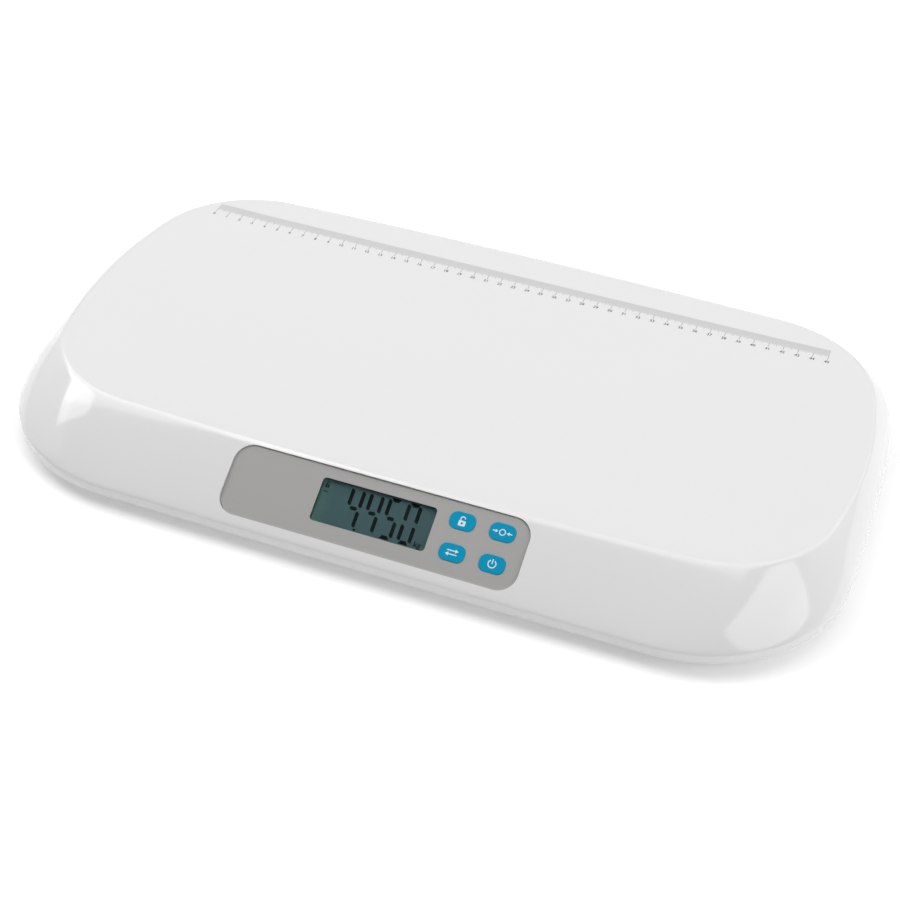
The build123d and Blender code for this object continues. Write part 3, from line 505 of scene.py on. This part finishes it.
def rectangle(work, x, y, width, height, columns=1):
    """Adds a flat rectangle centred on a place, in millimetres, and gives its vertices."""
    half_sizes = (width / 2 * MM, height / 2 * MM, 1, 1)
    place = Matrix.Translation((x * MM, y * MM, 0)) @ Matrix.Diagonal(half_sizes)
    return bmesh.ops.create_grid(work, x_segments=columns, y_segments=1, size=1, matrix=place)["verts"]


def rounded_rectangle(work, x, y, width, height, corner, segments):
    """Adds a flat rectangle with round corners, in millimetres, and gives its face."""
    made = bmesh.ops.bevel(
        work,
        geom=rectangle(work, x, y, width, height),
        offset=corner * MM,
        segments=segments,
        profile=0.5,
        affect="VERTICES",
        material=-1,
    )
    return made["verts"][0].link_faces[0]


# ---------------------------------------------------------------- top shell
SIDE_POINTS, CORNER_POINTS, END_POINTS = 72, 44, 36  # along each side, corner and end of an outline
SKIRT_STEPS = (0.8, 0.6, 0.4, 0.2, 0.0)  # shares of the way down from the lip
APRON_STEPS = (0.01, 0.02, 0.03, 0.045, 0.06, 0.08, 0.1, 0.13, 0.17, 0.22, 0.28, 0.34, 0.41, 0.48, 0.55, 0.62)
APRON_STEPS += (0.69, 0.76, 0.82, 0.87, 0.91)  # shares of the way up to the crest
CREASE_STEPS = 8
DISH_INSETS = (5.0, 8.0, 12.0, 17.0, 22.0, 28.0, 34.0, 40.0, 46.0, 51.0, 55.0, 58.5)
INNER_STEPS = (0.0, 0.1, 0.25, 0.5, 0.75, 0.9)  # shares of the way up to the ceiling
CUT_ABOVE = 12.0  # how far a cutter stands out of the panel
CUTTER_SEGMENTS = 12
SHELL_SHARP_EDGE = radians(30)


def arc_points(centre, start, end, count):
    """Points on the shorter arc from start, up to and without end."""
    first = atan2(start[1] - centre[1], start[0] - centre[0])
    turn = atan2(end[1] - centre[1], end[0] - centre[0]) - first
    turn = (turn + pi) % (2 * pi) - pi
    radius = hypot(start[0] - centre[0], start[1] - centre[1])
    angles = [first + turn * k / count for k in range(count)]
    return [(centre[0] + radius * cos(angle), centre[1] + radius * sin(angle)) for angle in angles]


def corner_fillet(side_centre_y, side_radius, end_centre, end_radius, corner):
    """Centre of the arc that rounds a right corner, and where it meets the side and the end."""
    reach_side, reach_end = side_radius - corner, end_radius - corner
    span_x, span_y = end_centre[0], end_centre[1] - side_centre_y
    span = hypot(span_x, span_y)
    along = (reach_side**2 - reach_end**2 + span**2) / (2 * span)
    across = sqrt(reach_side**2 - along**2)
    ux, uy = span_x / span, span_y / span
    foot_x, foot_y = along * ux, side_centre_y + along * uy
    centre = max((foot_x - sign * across * uy, foot_y + sign * across * ux) for sign in (-1, 1))
    on_side = (
        centre[0] * side_radius / reach_side,
        side_centre_y + (centre[1] - side_centre_y) * side_radius / reach_side,
    )
    on_end = (
        end_centre[0] + (centre[0] - end_centre[0]) * end_radius / reach_end,
        end_centre[1] + (centre[1] - end_centre[1]) * end_radius / reach_end,
    )
    return centre, on_side, on_end


@lru_cache(maxsize=None)
def outline(share, inset):
    """The shell's eight-arc outline, share of the way from lip to crest and moved in by inset."""
    soft = (hypot(share, LIP_SOFTNESS) - LIP_SOFTNESS) / FULL_SOFTNESS
    half_length = LIP_HALF_LENGTH - CREST_INSET_END * share**END_FULLNESS - inset
    front = LIP_HALF_WIDTH - CREST_INSET_FRONT * soft - inset
    back = LIP_HALF_WIDTH - CREST_INSET_BACK * share**BACK_FULLNESS - inset
    end_bulge = LIP_END_BULGE + (CREST_END_BULGE - LIP_END_BULGE) * soft
    side_bulge = LIP_SIDE_BULGE + (CREST_SIDE_BULGE - LIP_SIDE_BULGE) * soft
    corner = LIP_CORNER + (CREST_CORNER - LIP_CORNER) * soft - inset
    x = half_length - end_bulge
    front_y, back_y = side_bulge - front, back - side_bulge
    middle_y, half_end = (front_y + back_y) / 2, (back_y - front_y) / 2
    side_radius = (x**2 + side_bulge**2) / (2 * side_bulge)
    end_radius = (half_end**2 + end_bulge**2) / (2 * end_bulge)
    end_centre = (half_length - end_radius, middle_y)
    front_centre_y, back_centre_y = side_radius - front, back - side_radius
    low = corner_fillet(front_centre_y, side_radius, end_centre, end_radius, corner)
    high = corner_fillet(back_centre_y, side_radius, end_centre, end_radius, corner)
    right = arc_points((0, front_centre_y), (0, -front), low[1], SIDE_POINTS // 2)
    right += arc_points(low[0], low[1], low[2], CORNER_POINTS)
    right += arc_points(end_centre, low[2], high[2], END_POINTS)
    right += arc_points(high[0], high[2], high[1], CORNER_POINTS)
    right += arc_points((0, back_centre_y), high[1], (0, back), SIDE_POINTS // 2)
    left = [(-px, py) for px, py in reversed(right[1:])]
    return right + [(0, back)] + left


def at_height(points, height):
    """An outline at a height, in metres."""
    return [Vector((x, y, height)) * MM for x, y in points]


def front_weights():
    """How much each point of an outline belongs to the front, from 0 to 1."""
    points = outline(1.0, 0.0)
    weights = []
    for before, after in zip(points[-1:] + points[:-1], points[1:] + points[:1]):
        along = Vector((after[0] - before[0], after[1] - before[1])).normalized()
        weights.append(max(0.0, along[0]) ** 2)
    return weights


front_share = front_weights()


def fuller(points, share, weights):
    """An outline of the apron, swelled a little at the front so that the apron is slightly round."""
    swell = APRON_SWELL * 4 * share * (1 - share) * MM  # a parabola, full half way up
    raised = at_height(points, LIP_HEIGHT + APRON_RISE * share)
    return [point - Vector((0, swell * weight, 0)) for point, weight in zip(raised, weights)]


def smooth_step(value):
    """From 0 to 1 without a corner at either end."""
    value = min(1.0, max(0.0, value))
    return value * value * (3 - 2 * value)


def dish_height(inset):
    """The height of the tray's surface at a distance in from the crest."""
    return CREST_HEIGHT - DISH_DEPTH * smooth_step((inset - DISH_RIM) / DISH_RAMP)


def crease_rings():
    """The rings that round the shell over from apron to tray, a curve at each point of the outline."""
    edge = at_height(outline(1.0, 0.0), CREST_HEIGHT)
    starts, ends = [], []
    for k, weight in enumerate(front_share):
        reach = CRISP_CREASE + (SOFT_CREASE - CRISP_CREASE) * weight
        share = 1 - reach / (OTHER_SLANT + (FRONT_SLANT - OTHER_SLANT) * weight)
        starts += fuller([outline(round(share, 4), 0.0)[k]], share, [weight])
        ends += at_height([outline(1.0, round(reach, 4))[k]], CREST_HEIGHT)
    rings = []
    for step in range(CREASE_STEPS + 1):
        t = step / CREASE_STEPS
        low, middle, high = (1 - t) ** 2, 2 * t * (1 - t), t**2
        rings.append([a * low + b * middle + c * high for a, b, c in zip(starts, edge, ends)])
    return rings


def outer_side(work, rim):
    """Raises the shell's outer side from the rim to the middle of the tray."""
    ring = rim
    for step in SKIRT_STEPS:
        height = LIP_HEIGHT - (LIP_HEIGHT - SKIRT_HEIGHT) * step
        ring = next_ring(work, ring, at_height(outline(0.0, SKIRT_UNDERCUT * step**2), height))
    for share in APRON_STEPS:
        ring = next_ring(work, ring, fuller(outline(share, 0.0), share, front_share))
    for points in crease_rings():
        ring = next_ring(work, ring, points)
    for inset in DISH_INSETS:
        ring = next_ring(work, ring, at_height(outline(1.0, inset), dish_height(inset)))
    work.faces.new(ring)


def inner_side(work, rim):
    """Raises the shell's inner side from the rim to the ceiling, thicker behind the display panel."""
    ceiling = CREST_HEIGHT - DISH_DEPTH - TRAY_WALL
    top_share = (ceiling + APRON_DROP - LIP_HEIGHT) / APRON_RISE
    ring = rim
    for rise in (0.0, SKIRT_LAP):
        ring = next_ring(work, ring, at_height(outline(0.0, SKIRT_WALL), SKIRT_HEIGHT + rise))
    for step in INNER_STEPS:
        share = step * top_share
        points = at_height(outline(share, SIDE_WALL), LIP_HEIGHT + APRON_RISE * share - APRON_DROP)
        extra = PANEL_WALL * min(1.0, step * PANEL_WALL_GROWTH) * MM
        points = [point - Vector((0, 0, extra * weight)) for point, weight in zip(points, front_share)]
        ring = next_ring(work, ring, points)
    ring = next_ring(work, ring, at_height(outline(top_share, SIDE_WALL + CEILING_STEP), ceiling))
    work.faces.new(ring)


def panel_cutter(name, x, y, width, height, corner, depth):
    """A rounded block square to the display panel, which cuts the shell down to a depth."""
    work = bmesh.new()
    rounded_rectangle(work, x, y, width, height, corner, CUTTER_SEGMENTS)
    thicken(work, (depth + CUT_ABOVE) * MM)
    bmesh.ops.translate(work, verts=work.verts, vec=(0, 0, -depth * MM))
    bmesh.ops.transform(work, matrix=PANEL_FRAME, verts=work.verts)
    bmesh.ops.recalc_face_normals(work, faces=work.faces)
    return add_object(name, work)


def recess_cutter():
    """Cuts the shallow recess that the display panel lies in."""
    width, height = PANEL_WIDTH + 2 * PANEL_FIT, PANEL_HEIGHT + 2 * PANEL_FIT
    return panel_cutter("recess_cutter", 0, 0, width, height, PANEL_CORNER + PANEL_FIT, PANEL_THICKNESS)


def opening_cutter():
    """Cuts the opening behind the panel for the display and the keys."""
    place = (OPENING_X, OPENING_Y, OPENING_WIDTH, OPENING_HEIGHT)
    return panel_cutter("opening_cutter", *place, OPENING_CORNER, OPENING_DEPTH)


def make_top_shell():
    """The tray with its apron as one closed shell, with the panel's recess and opening cut in it."""
    work = bmesh.new()
    rim = ring_of(work, at_height(outline(0.0, SKIRT_UNDERCUT), SKIRT_HEIGHT))
    outer_side(work, rim)
    inner_side(work, rim)
    shell = finish_piece("tray_shell", work, shell_white, "housing")
    blocks = [recess_cutter(), opening_cutter()]
    for block in blocks:
        cut = shell.modifiers.new("cut", "BOOLEAN")
        cut.operation = "DIFFERENCE"
        cut.solver = "EXACT"
        cut.object = block
    bpy.context.view_layer.update()
    solid = bpy.data.meshes.new_from_object(shell.evaluated_get(bpy.context.evaluated_depsgraph_get()))
    shell.modifiers.clear()
    shell.data = solid
    for block in blocks:
        bpy.data.objects.remove(block)
    solid.shade_smooth()
    solid.set_sharp_from_angle(angle=SHELL_SHARP_EDGE)
    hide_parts("top_shell")
    return shell


tray_shell = make_top_shell()
surface = BVHTree.FromObject(tray_shell, bpy.context.evaluated_depsgraph_get())
ABOVE_TRAY = 0.1


def tray_height(x, y):
    """The height of the tray's surface at a place, in metres."""
    found = surface.ray_cast(Vector((x, y, ABOVE_TRAY)), Vector((0, 0, -1)))
    return found[0].z


# ---------------------------------------------------------------- printing
INK_PROUD = 0.03 * MM
INK_SUNK = 0.03 * MM
INK_THICKNESS = 0.04
BOLDER = 0.015  # share of its size by which lettering is thickened outwards
LETTER_CURVE_STEPS = 3


def lay_on_tray(work):
    """Gives flat printing its thickness and lays it on the tray's surface."""
    thicken(work, 1.0)  # a metre for now, which tells the upper side from the lower one
    for vertex in work.verts:
        raised = vertex.co.z > 0.5
        level = tray_height(vertex.co.x, vertex.co.y)
        vertex.co.z = level + (INK_PROUD if raised else -INK_SUNK)


def lay_on_panel(work, depth):
    """Gives flat printing its thickness and lays it parallel to the panel at a depth, in millimetres."""
    bmesh.ops.remove_doubles(work, verts=work.verts, dist=MERGE_WITHIN)
    thicken(work, INK_THICKNESS * MM)
    bmesh.ops.translate(work, verts=work.verts, vec=(0, 0, -depth * MM))
    bmesh.ops.transform(work, matrix=PANEL_FRAME, verts=work.verts)


def add_text(work, words, size, x, y):
    """Adds flat lettering centred on a place, in millimetres."""
    curve = bpy.data.curves.new("lettering", "FONT")
    curve.body = words
    curve.size = size * MM
    curve.align_x = "CENTER"
    curve.align_y = "CENTER"
    curve.resolution_u = LETTER_CURVE_STEPS
    curve.offset = size * BOLDER * MM
    holder = bpy.data.objects.new("lettering", curve)
    bpy.context.scene.collection.objects.link(holder)
    bpy.context.view_layer.update()
    mesh = bpy.data.meshes.new_from_object(holder.evaluated_get(bpy.context.evaluated_depsgraph_get()))
    mesh.transform(Matrix.Translation((x * MM, y * MM, 0)))
    work.from_mesh(mesh)
    bpy.data.objects.remove(holder)
    bpy.data.meshes.remove(mesh)
    bpy.data.curves.remove(curve)


def add_flat(work, points):
    """Adds a flat face with a few corners, in millimetres."""
    work.faces.new([work.verts.new((x * MM, y * MM, 0)) for x, y in points])


def add_circle(work, x, y, radius, segments, filled):
    """Adds a flat circle, in millimetres."""
    place = Matrix.Translation((x * MM, y * MM, 0))
    bmesh.ops.create_circle(work, cap_ends=filled, segments=segments, radius=radius * MM, matrix=place)


def add_arc_band(work, x, y, radius, width, start, turn, segments):
    """Adds a flat curved band, in millimetres, that turns anticlockwise by degrees from a start."""
    heading = Vector((cos(radians(start)), sin(radians(start)), 0)) * MM
    centre = Vector((x, y, 0)) * MM
    reaches = (radius - width / 2, radius + width / 2)
    ends = [work.verts.new(centre + heading * reach) for reach in reaches]
    across = work.edges.new(ends)
    bmesh.ops.spin(
        work,
        geom=[*ends, across],
        cent=centre,
        axis=(0, 0, 1),
        angle=radians(turn),
        steps=segments,
        use_merge=turn == 360,
    )


# ---------------------------------------------------------------- ruler on the tray
RULER_START = -229.8
RULER_TOP = 118.7
RULER_LOW = 112.2
RULER_LENGTH = 450
BAR_COLUMNS = 90
TICK_ENDS = {10: 107.3, 5: 110.1, 1: 111.1}
TICK_WIDTHS = {10: 0.42, 5: 0.32, 1: 0.26}
NUMBER_Y = 105.2
NUMBER_SIZE = 3.5


def finish_ruler(name, work, ink):
    """Lays a part of the ruler on the tray and makes it a piece."""
    lay_on_tray(work)
    piece = finish_piece(name, work, ink, "housing")


def ruler_bar():
    """The grey bar that the ticks hang from."""
    work = bmesh.new()
    middle_x, middle_y = RULER_START + RULER_LENGTH / 2, (RULER_LOW + RULER_TOP) / 2
    rectangle(work, middle_x, middle_y, RULER_LENGTH, RULER_TOP - RULER_LOW, BAR_COLUMNS)
    finish_ruler("ruler_bar", work, print_grey)


def ruler_marks():
    """A tick at every millimetre, longer at every fifth and tenth one."""
    work = bmesh.new()
    for millimetre in range(RULER_LENGTH + 1):
        kind = 10 if millimetre % 10 == 0 else 5 if millimetre % 5 == 0 else 1
        low = TICK_ENDS[kind]
        top = RULER_TOP if millimetre in (0, RULER_LENGTH) else RULER_LOW
        rectangle(work, RULER_START + millimetre, (low + top) / 2, TICK_WIDTHS[kind], top - low)
    finish_ruler("ruler_marks", work, print_mid)


def ruler_numbers():
    """A number under every centimetre's tick."""
    work = bmesh.new()
    for centimetre in range(RULER_LENGTH // 10 + 1):
        add_text(work, str(centimetre), NUMBER_SIZE, RULER_START + centimetre * 10, NUMBER_Y)
    bmesh.ops.remove_doubles(work, verts=work.verts, dist=MERGE_WITHIN)
    finish_ruler("ruler_numbers", work, print_dark)


ruler_bar()
ruler_marks()
ruler_numbers()


# ---------------------------------------------------------------- padlock sign, as shares of its size
LOCK_WIDTH, LOCK_HEIGHT, LOCK_CORNER = 1.0, 0.78, 0.12
LOCK_BELOW = 0.62  # from the sign's middle down to the body's lower edge
LOCK_CORNER_SEGMENTS = 3
HOLE_RADIUS = 0.17
HOLE_SEGMENTS = 16
SHACKLE_RADIUS, SHACKLE_WIDTH, SHACKLE_RISE = 0.31, 0.15, 0.26
SHACKLE_START, SHACKLE_TURN, SHACKLE_SEGMENTS = 5, 175, 24


def add_padlock(work, x, y, size):
    """Adds an open padlock: a body with a round hole, and a shackle that is free at its right end."""
    low = y - LOCK_BELOW * size
    middle = low + LOCK_HEIGHT * size / 2
    lock = (LOCK_WIDTH * size, LOCK_HEIGHT * size, LOCK_CORNER * size)
    body = rounded_rectangle(work, x, middle, *lock, LOCK_CORNER_SEGMENTS)
    bmesh.ops.delete(work, geom=[body], context="FACES_ONLY")
    add_circle(work, x, middle, HOLE_RADIUS * size, HOLE_SEGMENTS, filled=False)
    bmesh.ops.bridge_loops(work, edges=[edge for edge in work.edges if edge.is_wire])
    body_top = low + LOCK_HEIGHT * size
    arch = body_top + SHACKLE_RISE * size
    shackle = (SHACKLE_RADIUS * size, SHACKLE_WIDTH * size)
    add_arc_band(work, x, arch, *shackle, SHACKLE_START, SHACKLE_TURN, SHACKLE_SEGMENTS)
    left = x - (SHACKLE_RADIUS + SHACKLE_WIDTH / 2) * size
    right = x - (SHACKLE_RADIUS - SHACKLE_WIDTH / 2) * size
    add_flat(work, [(left, body_top), (right, body_top), (right, arch), (left, arch)])


# ---------------------------------------------------------------- display segments
DIGIT_LEFT = -17.2
DIGIT_PITCH = 12.0
DIGIT_SPAN = 7.0  # between the middles of a digit's upright segments
DIGIT_TOP, DIGIT_MIDDLE, DIGIT_LOW = 13.7, 1.9, -10.0
STROKE = 2.3
SEGMENTS = {"0": "abcdef", "4": "bcfg", "5": "acdfg"}
READING = "4450"
MIDDLE_GAP = 1.2  # between an upright segment and the middle of a digit
LOW_GAP = 0.6  # between an upright segment and the foot of a digit
SLANT, SHORT_SLANT, PEAK = 1.1, 0.5, 0.2  # the slanted ends of an upright segment
LEVEL_GAP = 0.5  # between a level segment's long side and the upright segments' middles
LEVEL_SHORTER = 1.9  # the same for its short side
POINT_GAP = 1.1  # the same for the points of the middle one
POINT_X, POINT_DROP, POINT_RADIUS, POINT_SEGMENTS = -8.8, 0.6, 0.8, 12  # the decimal point
DASH_X, DASH_Y, DASH_WIDTH, DASH_HEIGHT = -33.7, 7.55, 2.6, 0.7
UNIT_X, UNIT_Y, UNIT_SIZE = 30.9, -9.0, 5.0
SMALL_LOCK_X, SMALL_LOCK_Y, SMALL_LOCK_SIZE = -33.7, 11.7, 2.6


def upright_segment(x, low, top):
    """A long segment with slanted ends."""
    half = STROKE / 2
    return [
        (x - half, low + SLANT),
        (x + half * PEAK, low),
        (x + half, low + SHORT_SLANT),
        (x + half, top - SLANT),
        (x - half * PEAK, top),
        (x - half, top - SHORT_SLANT),
    ]


def middle_segment(x, y):
    """The level segment across the middle of a digit, pointed at both ends."""
    tip, narrow, half = DIGIT_SPAN / 2 - POINT_GAP, DIGIT_SPAN / 2 - LEVEL_SHORTER, STROKE / 2
    return [
        (x - tip, y),
        (x - narrow, y - half),
        (x + narrow, y - half),
        (x + tip, y),
        (x + narrow, y + half),
        (x - narrow, y + half),
    ]


def level_segment(x, y, outward):
    """The level segment at the top (1) or foot (-1) of a digit, narrower on its inner side."""
    wide, narrow = DIGIT_SPAN / 2 - LEVEL_GAP, DIGIT_SPAN / 2 - LEVEL_SHORTER
    half = STROKE / 2 * outward
    points = [(x - narrow, y - half), (x + narrow, y - half), (x + wide, y + half), (x - wide, y + half)]
    return points[::outward]


def digit_shapes(figure, left):
    """The segments of a figure as outlines on the display."""
    right, middle = left + DIGIT_SPAN, left + DIGIT_SPAN / 2
    shapes = {
        "a": level_segment(middle, DIGIT_TOP, 1),
        "g": middle_segment(middle, DIGIT_MIDDLE),
        "d": level_segment(middle, DIGIT_LOW, -1),
        "f": upright_segment(left, DIGIT_MIDDLE + MIDDLE_GAP, DIGIT_TOP),
        "b": upright_segment(right, DIGIT_MIDDLE + MIDDLE_GAP, DIGIT_TOP),
        "e": upright_segment(left, DIGIT_LOW + LOW_GAP, DIGIT_MIDDLE - MIDDLE_GAP),
        "c": upright_segment(right, DIGIT_LOW + LOW_GAP, DIGIT_MIDDLE - MIDDLE_GAP),
    }
    return [shapes[name] for name in SEGMENTS[figure]]


def make_display_ink():
    """The figures, unit and signs that the display shows."""
    work = bmesh.new()
    for k, figure in enumerate(READING):
        for points in digit_shapes(figure, DIGIT_LEFT + k * DIGIT_PITCH):
            add_flat(work, points)
    add_circle(work, POINT_X, DIGIT_LOW - POINT_DROP, POINT_RADIUS, POINT_SEGMENTS, filled=True)
    rectangle(work, DASH_X, DASH_Y, DASH_WIDTH, DASH_HEIGHT)
    add_text(work, "kg", UNIT_SIZE, UNIT_X, UNIT_Y)
    add_padlock(work, SMALL_LOCK_X, SMALL_LOCK_Y, SMALL_LOCK_SIZE)
    lay_on_panel(work, LCD_DEPTH)
    piece = finish_piece("display_ink", work, segment_ink, "housing")


make_display_ink()


# ---------------------------------------------------------------- signs on the keys
KEY_LOCK_SIZE, KEY_LOCK_DROP = 4.3, 0.4
ARROW_SPREAD = 0.62  # half the width of an arrow's head, as a share of its length
TARE_RING_RADIUS, TARE_RING_WIDTH, TARE_RING_SEGMENTS = 1.75, 0.6, 28
TARE_ARROW_LENGTH, TARE_ARROW_HEAD, TARE_ARROW_REACH = 3.4, 1.7, 2.6
UNIT_ARROW_LENGTH, UNIT_ARROW_HEAD, UNIT_ARROW_STROKE = 7.2, 2.0, 0.62
UNIT_ARROW_REACH, UNIT_ARROW_OFFSET = 3.9, 1.15
POWER_RADIUS, POWER_STROKE, POWER_SEGMENTS = 2.35, 0.62, 30
POWER_START, POWER_TURN = 122, 296
POWER_LINE = 3.0  # length of the upright line


def add_arrow(work, x, y, length, head, stroke, heading):
    """Adds a level arrow whose tip is at x, pointing right (1) or left (-1)."""
    back, neck = x - heading * length, x - heading * head
    points = [
        (back, y - stroke / 2),
        (neck, y - stroke / 2),
        (neck, y - head * ARROW_SPREAD),
        (x, y),
        (neck, y + head * ARROW_SPREAD),
        (neck, y + stroke / 2),
        (back, y + stroke / 2),
    ]
    add_flat(work, points[::heading])


def hold_sign(work, x, y):
    """An open padlock."""
    add_padlock(work, x, y - KEY_LOCK_DROP, KEY_LOCK_SIZE)


def tare_sign(work, x, y):
    """A ring with an arrow pointing at it from each side."""
    add_arc_band(work, x, y, TARE_RING_RADIUS, TARE_RING_WIDTH, 0, 360, TARE_RING_SEGMENTS)
    arrow = (TARE_ARROW_LENGTH, TARE_ARROW_HEAD, TARE_RING_WIDTH)
    add_arrow(work, x - TARE_ARROW_REACH, y, *arrow, 1)
    add_arrow(work, x + TARE_ARROW_REACH, y, *arrow, -1)


def unit_sign(work, x, y):
    """Two arrows one above the other, pointing opposite ways."""
    arrow = (UNIT_ARROW_LENGTH, UNIT_ARROW_HEAD, UNIT_ARROW_STROKE)
    add_arrow(work, x + UNIT_ARROW_REACH, y + UNIT_ARROW_OFFSET, *arrow, 1)
    add_arrow(work, x - UNIT_ARROW_REACH, y - UNIT_ARROW_OFFSET, *arrow, -1)


def power_sign(work, x, y):
    """An open ring with an upright line in its gap."""
    add_arc_band(work, x, y, POWER_RADIUS, POWER_STROKE, POWER_START, POWER_TURN, POWER_SEGMENTS)
    rectangle(work, x, y + POWER_LINE / 2, POWER_STROKE, POWER_LINE)


KEY_SIGNS = {"hold": hold_sign, "tare": tare_sign, "unit": unit_sign, "power": power_sign}


def print_key(name):
    """Prints a key's sign in white on its top."""
    work = bmesh.new()
    KEY_SIGNS[name](work, *KEY_MIDDLES[name])
    lay_on_panel(work, -KEY_PROUD)
    piece = finish_piece(f"sign_{name}", work, print_white, f"key_{name}")


for key_name in KEY_SIGNS:
    print_key(key_name)


# ---------------------------------------------------------------- studio, in metres
FLOOR_RADIUS = 6.0
FLOOR_SEGMENTS = 96
FLOOR_GAP = 0.0001  # below the feet, so that the two don't flicker
FLOOR_PAINT = (0.93, 0.93, 0.93, 1)
GLOW_STARTS, GLOW_ENDS = 1.2, 2.6  # distances between which the floor brightens into the backdrop
GLOW_NEAR, GLOW_FAR = 0.2, 1.0
WORLD_STRENGTH = 0.07
BACKDROP_STRENGTH = 1.0
STUDIO_LIGHTS = (  # name, place, width and height, power in watts
    ("top_left", (-1.6, 0.6, 2.2), 2.0, 1.6, 27.0),
    ("top_middle", (0.0, 0.4, 2.2), 2.0, 1.6, 18.5),
    ("top_right", (1.95, -0.5, 1.6), 1.5, 1.9, 21.0),
    ("top_right_back", (1.6, 1.8, 2.2), 2.0, 1.6, 12.0),
    ("corner_left", (-2.0, 0.15, 1.75), 1.1, 0.75, 8.5),
    ("side_left", (-2.4, 0.4, 0.95), 2.4, 1.8, 9.0),
    ("side_right", (2.4, 0.8, 0.95), 2.6, 1.8, 7.5),
    ("back_right", (1.3, 2.2, 1.2), 1.6, 1.0, 3.0),
)
CAMERA_AZIMUTH = radians(18.26)
CAMERA_ELEVATION = radians(39.14)
CAMERA_ROLL = radians(3.34)
CAMERA_DISTANCE = 1.1089
CAMERA_TARGET = Vector((0.00584, -0.03077, 0.0))
CAMERA_LENS = 68.09
CAMERA_FILM = 36.0
CAMERA_NEAREST, CAMERA_FURTHEST = 0.05, 30.0


def floor_white():
    """White that glows more the further it is from the middle, clear from below to show the underside."""
    material, tree, shader = new_material("studio_white")
    shader.inputs["Base Color"].default_value = FLOOR_PAINT
    shader.inputs["Roughness"].default_value = 1.0
    shader.inputs["Specular IOR Level"].default_value = 0.0
    shader.inputs["Emission Color"].default_value = (1, 1, 1, 1)
    away = tree.nodes.new("ShaderNodeVectorMath")
    away.operation = "LENGTH"
    feed(tree, away.inputs[0], object_place(tree))
    glow = ramp(tree, away.outputs["Value"], GLOW_STARTS, GLOW_ENDS, GLOW_NEAR, GLOW_FAR)
    feed(tree, shader.inputs["Emission Strength"], glow.outputs["Result"])
    mix = tree.nodes.new("ShaderNodeMixShader")
    feed(tree, mix.inputs["Fac"], tree.nodes.new("ShaderNodeNewGeometry").outputs["Backfacing"])
    feed(tree, mix.inputs[1], shader.outputs["BSDF"])
    feed(tree, mix.inputs[2], tree.nodes.new("ShaderNodeBsdfTransparent").outputs["BSDF"])
    feed(tree, tree.nodes["Material Output"].inputs["Surface"], mix.outputs["Shader"])
    return material


def studio_floor():
    """A pale round floor that runs out of sight."""
    work = bmesh.new()
    bmesh.ops.create_circle(work, cap_ends=True, segments=FLOOR_SEGMENTS, radius=FLOOR_RADIUS)
    bmesh.ops.translate(work, verts=work.verts, vec=(0, 0, -FLOOR_GAP))
    floor = add_object("studio_floor", work)
    floor.data.materials.append(floor_white())


def softbox(name, place, width, height, power):
    """A rectangular studio light that faces the middle of the scale."""
    light = bpy.data.lights.new(name, "AREA")
    light.shape = "RECTANGLE"
    light.size = width
    light.size_y = height
    light.energy = power
    lamp = bpy.data.objects.new(name, light)
    lamp.location = place
    lamp.rotation_euler = (-Vector(place)).to_track_quat("-Z", "Y").to_euler()
    bpy.context.scene.collection.objects.link(lamp)


def studio_world():
    """Even white light from all round, in front of a plain white backdrop."""
    world = bpy.data.worlds.new("studio")
    bpy.context.scene.world = world
    world.use_nodes = True
    tree = world.node_tree
    background = tree.nodes["Background"]
    background.inputs["Color"].default_value = (1, 1, 1, 1)
    seen = tree.nodes.new("ShaderNodeLightPath").outputs["Is Camera Ray"]
    level = ramp(tree, seen, 0.0, 1.0, WORLD_STRENGTH, BACKDROP_STRENGTH)
    feed(tree, background.inputs["Strength"], level.outputs["Result"])


def studio_camera():
    """The camera, level apart from a slight roll."""
    data = bpy.data.cameras.new("camera")
    data.lens = CAMERA_LENS
    data.sensor_width = CAMERA_FILM
    data.clip_start = CAMERA_NEAREST
    data.clip_end = CAMERA_FURTHEST
    camera = bpy.data.objects.new("camera", data)
    level_back = Vector((sin(CAMERA_AZIMUTH), -cos(CAMERA_AZIMUTH), 0))
    back = level_back * cos(CAMERA_ELEVATION) + Vector((0, 0, sin(CAMERA_ELEVATION)))
    right = (-back).cross(Vector((0, 0, 1))).normalized()
    up = right.cross(-back)
    side = right * cos(CAMERA_ROLL) + up * sin(CAMERA_ROLL)
    top = up * cos(CAMERA_ROLL) - right * sin(CAMERA_ROLL)
    turn = Matrix((side, top, back)).transposed().to_4x4()
    camera.matrix_world = Matrix.Translation(CAMERA_TARGET + back * CAMERA_DISTANCE) @ turn
    bpy.context.scene.collection.objects.link(camera)
    bpy.context.scene.camera = camera


studio_floor()
studio_world()
for light_values in STUDIO_LIGHTS:
    softbox(*light_values)
studio_camera()

scene = bpy.context.scene
scene.view_settings.view_transform = "Standard"
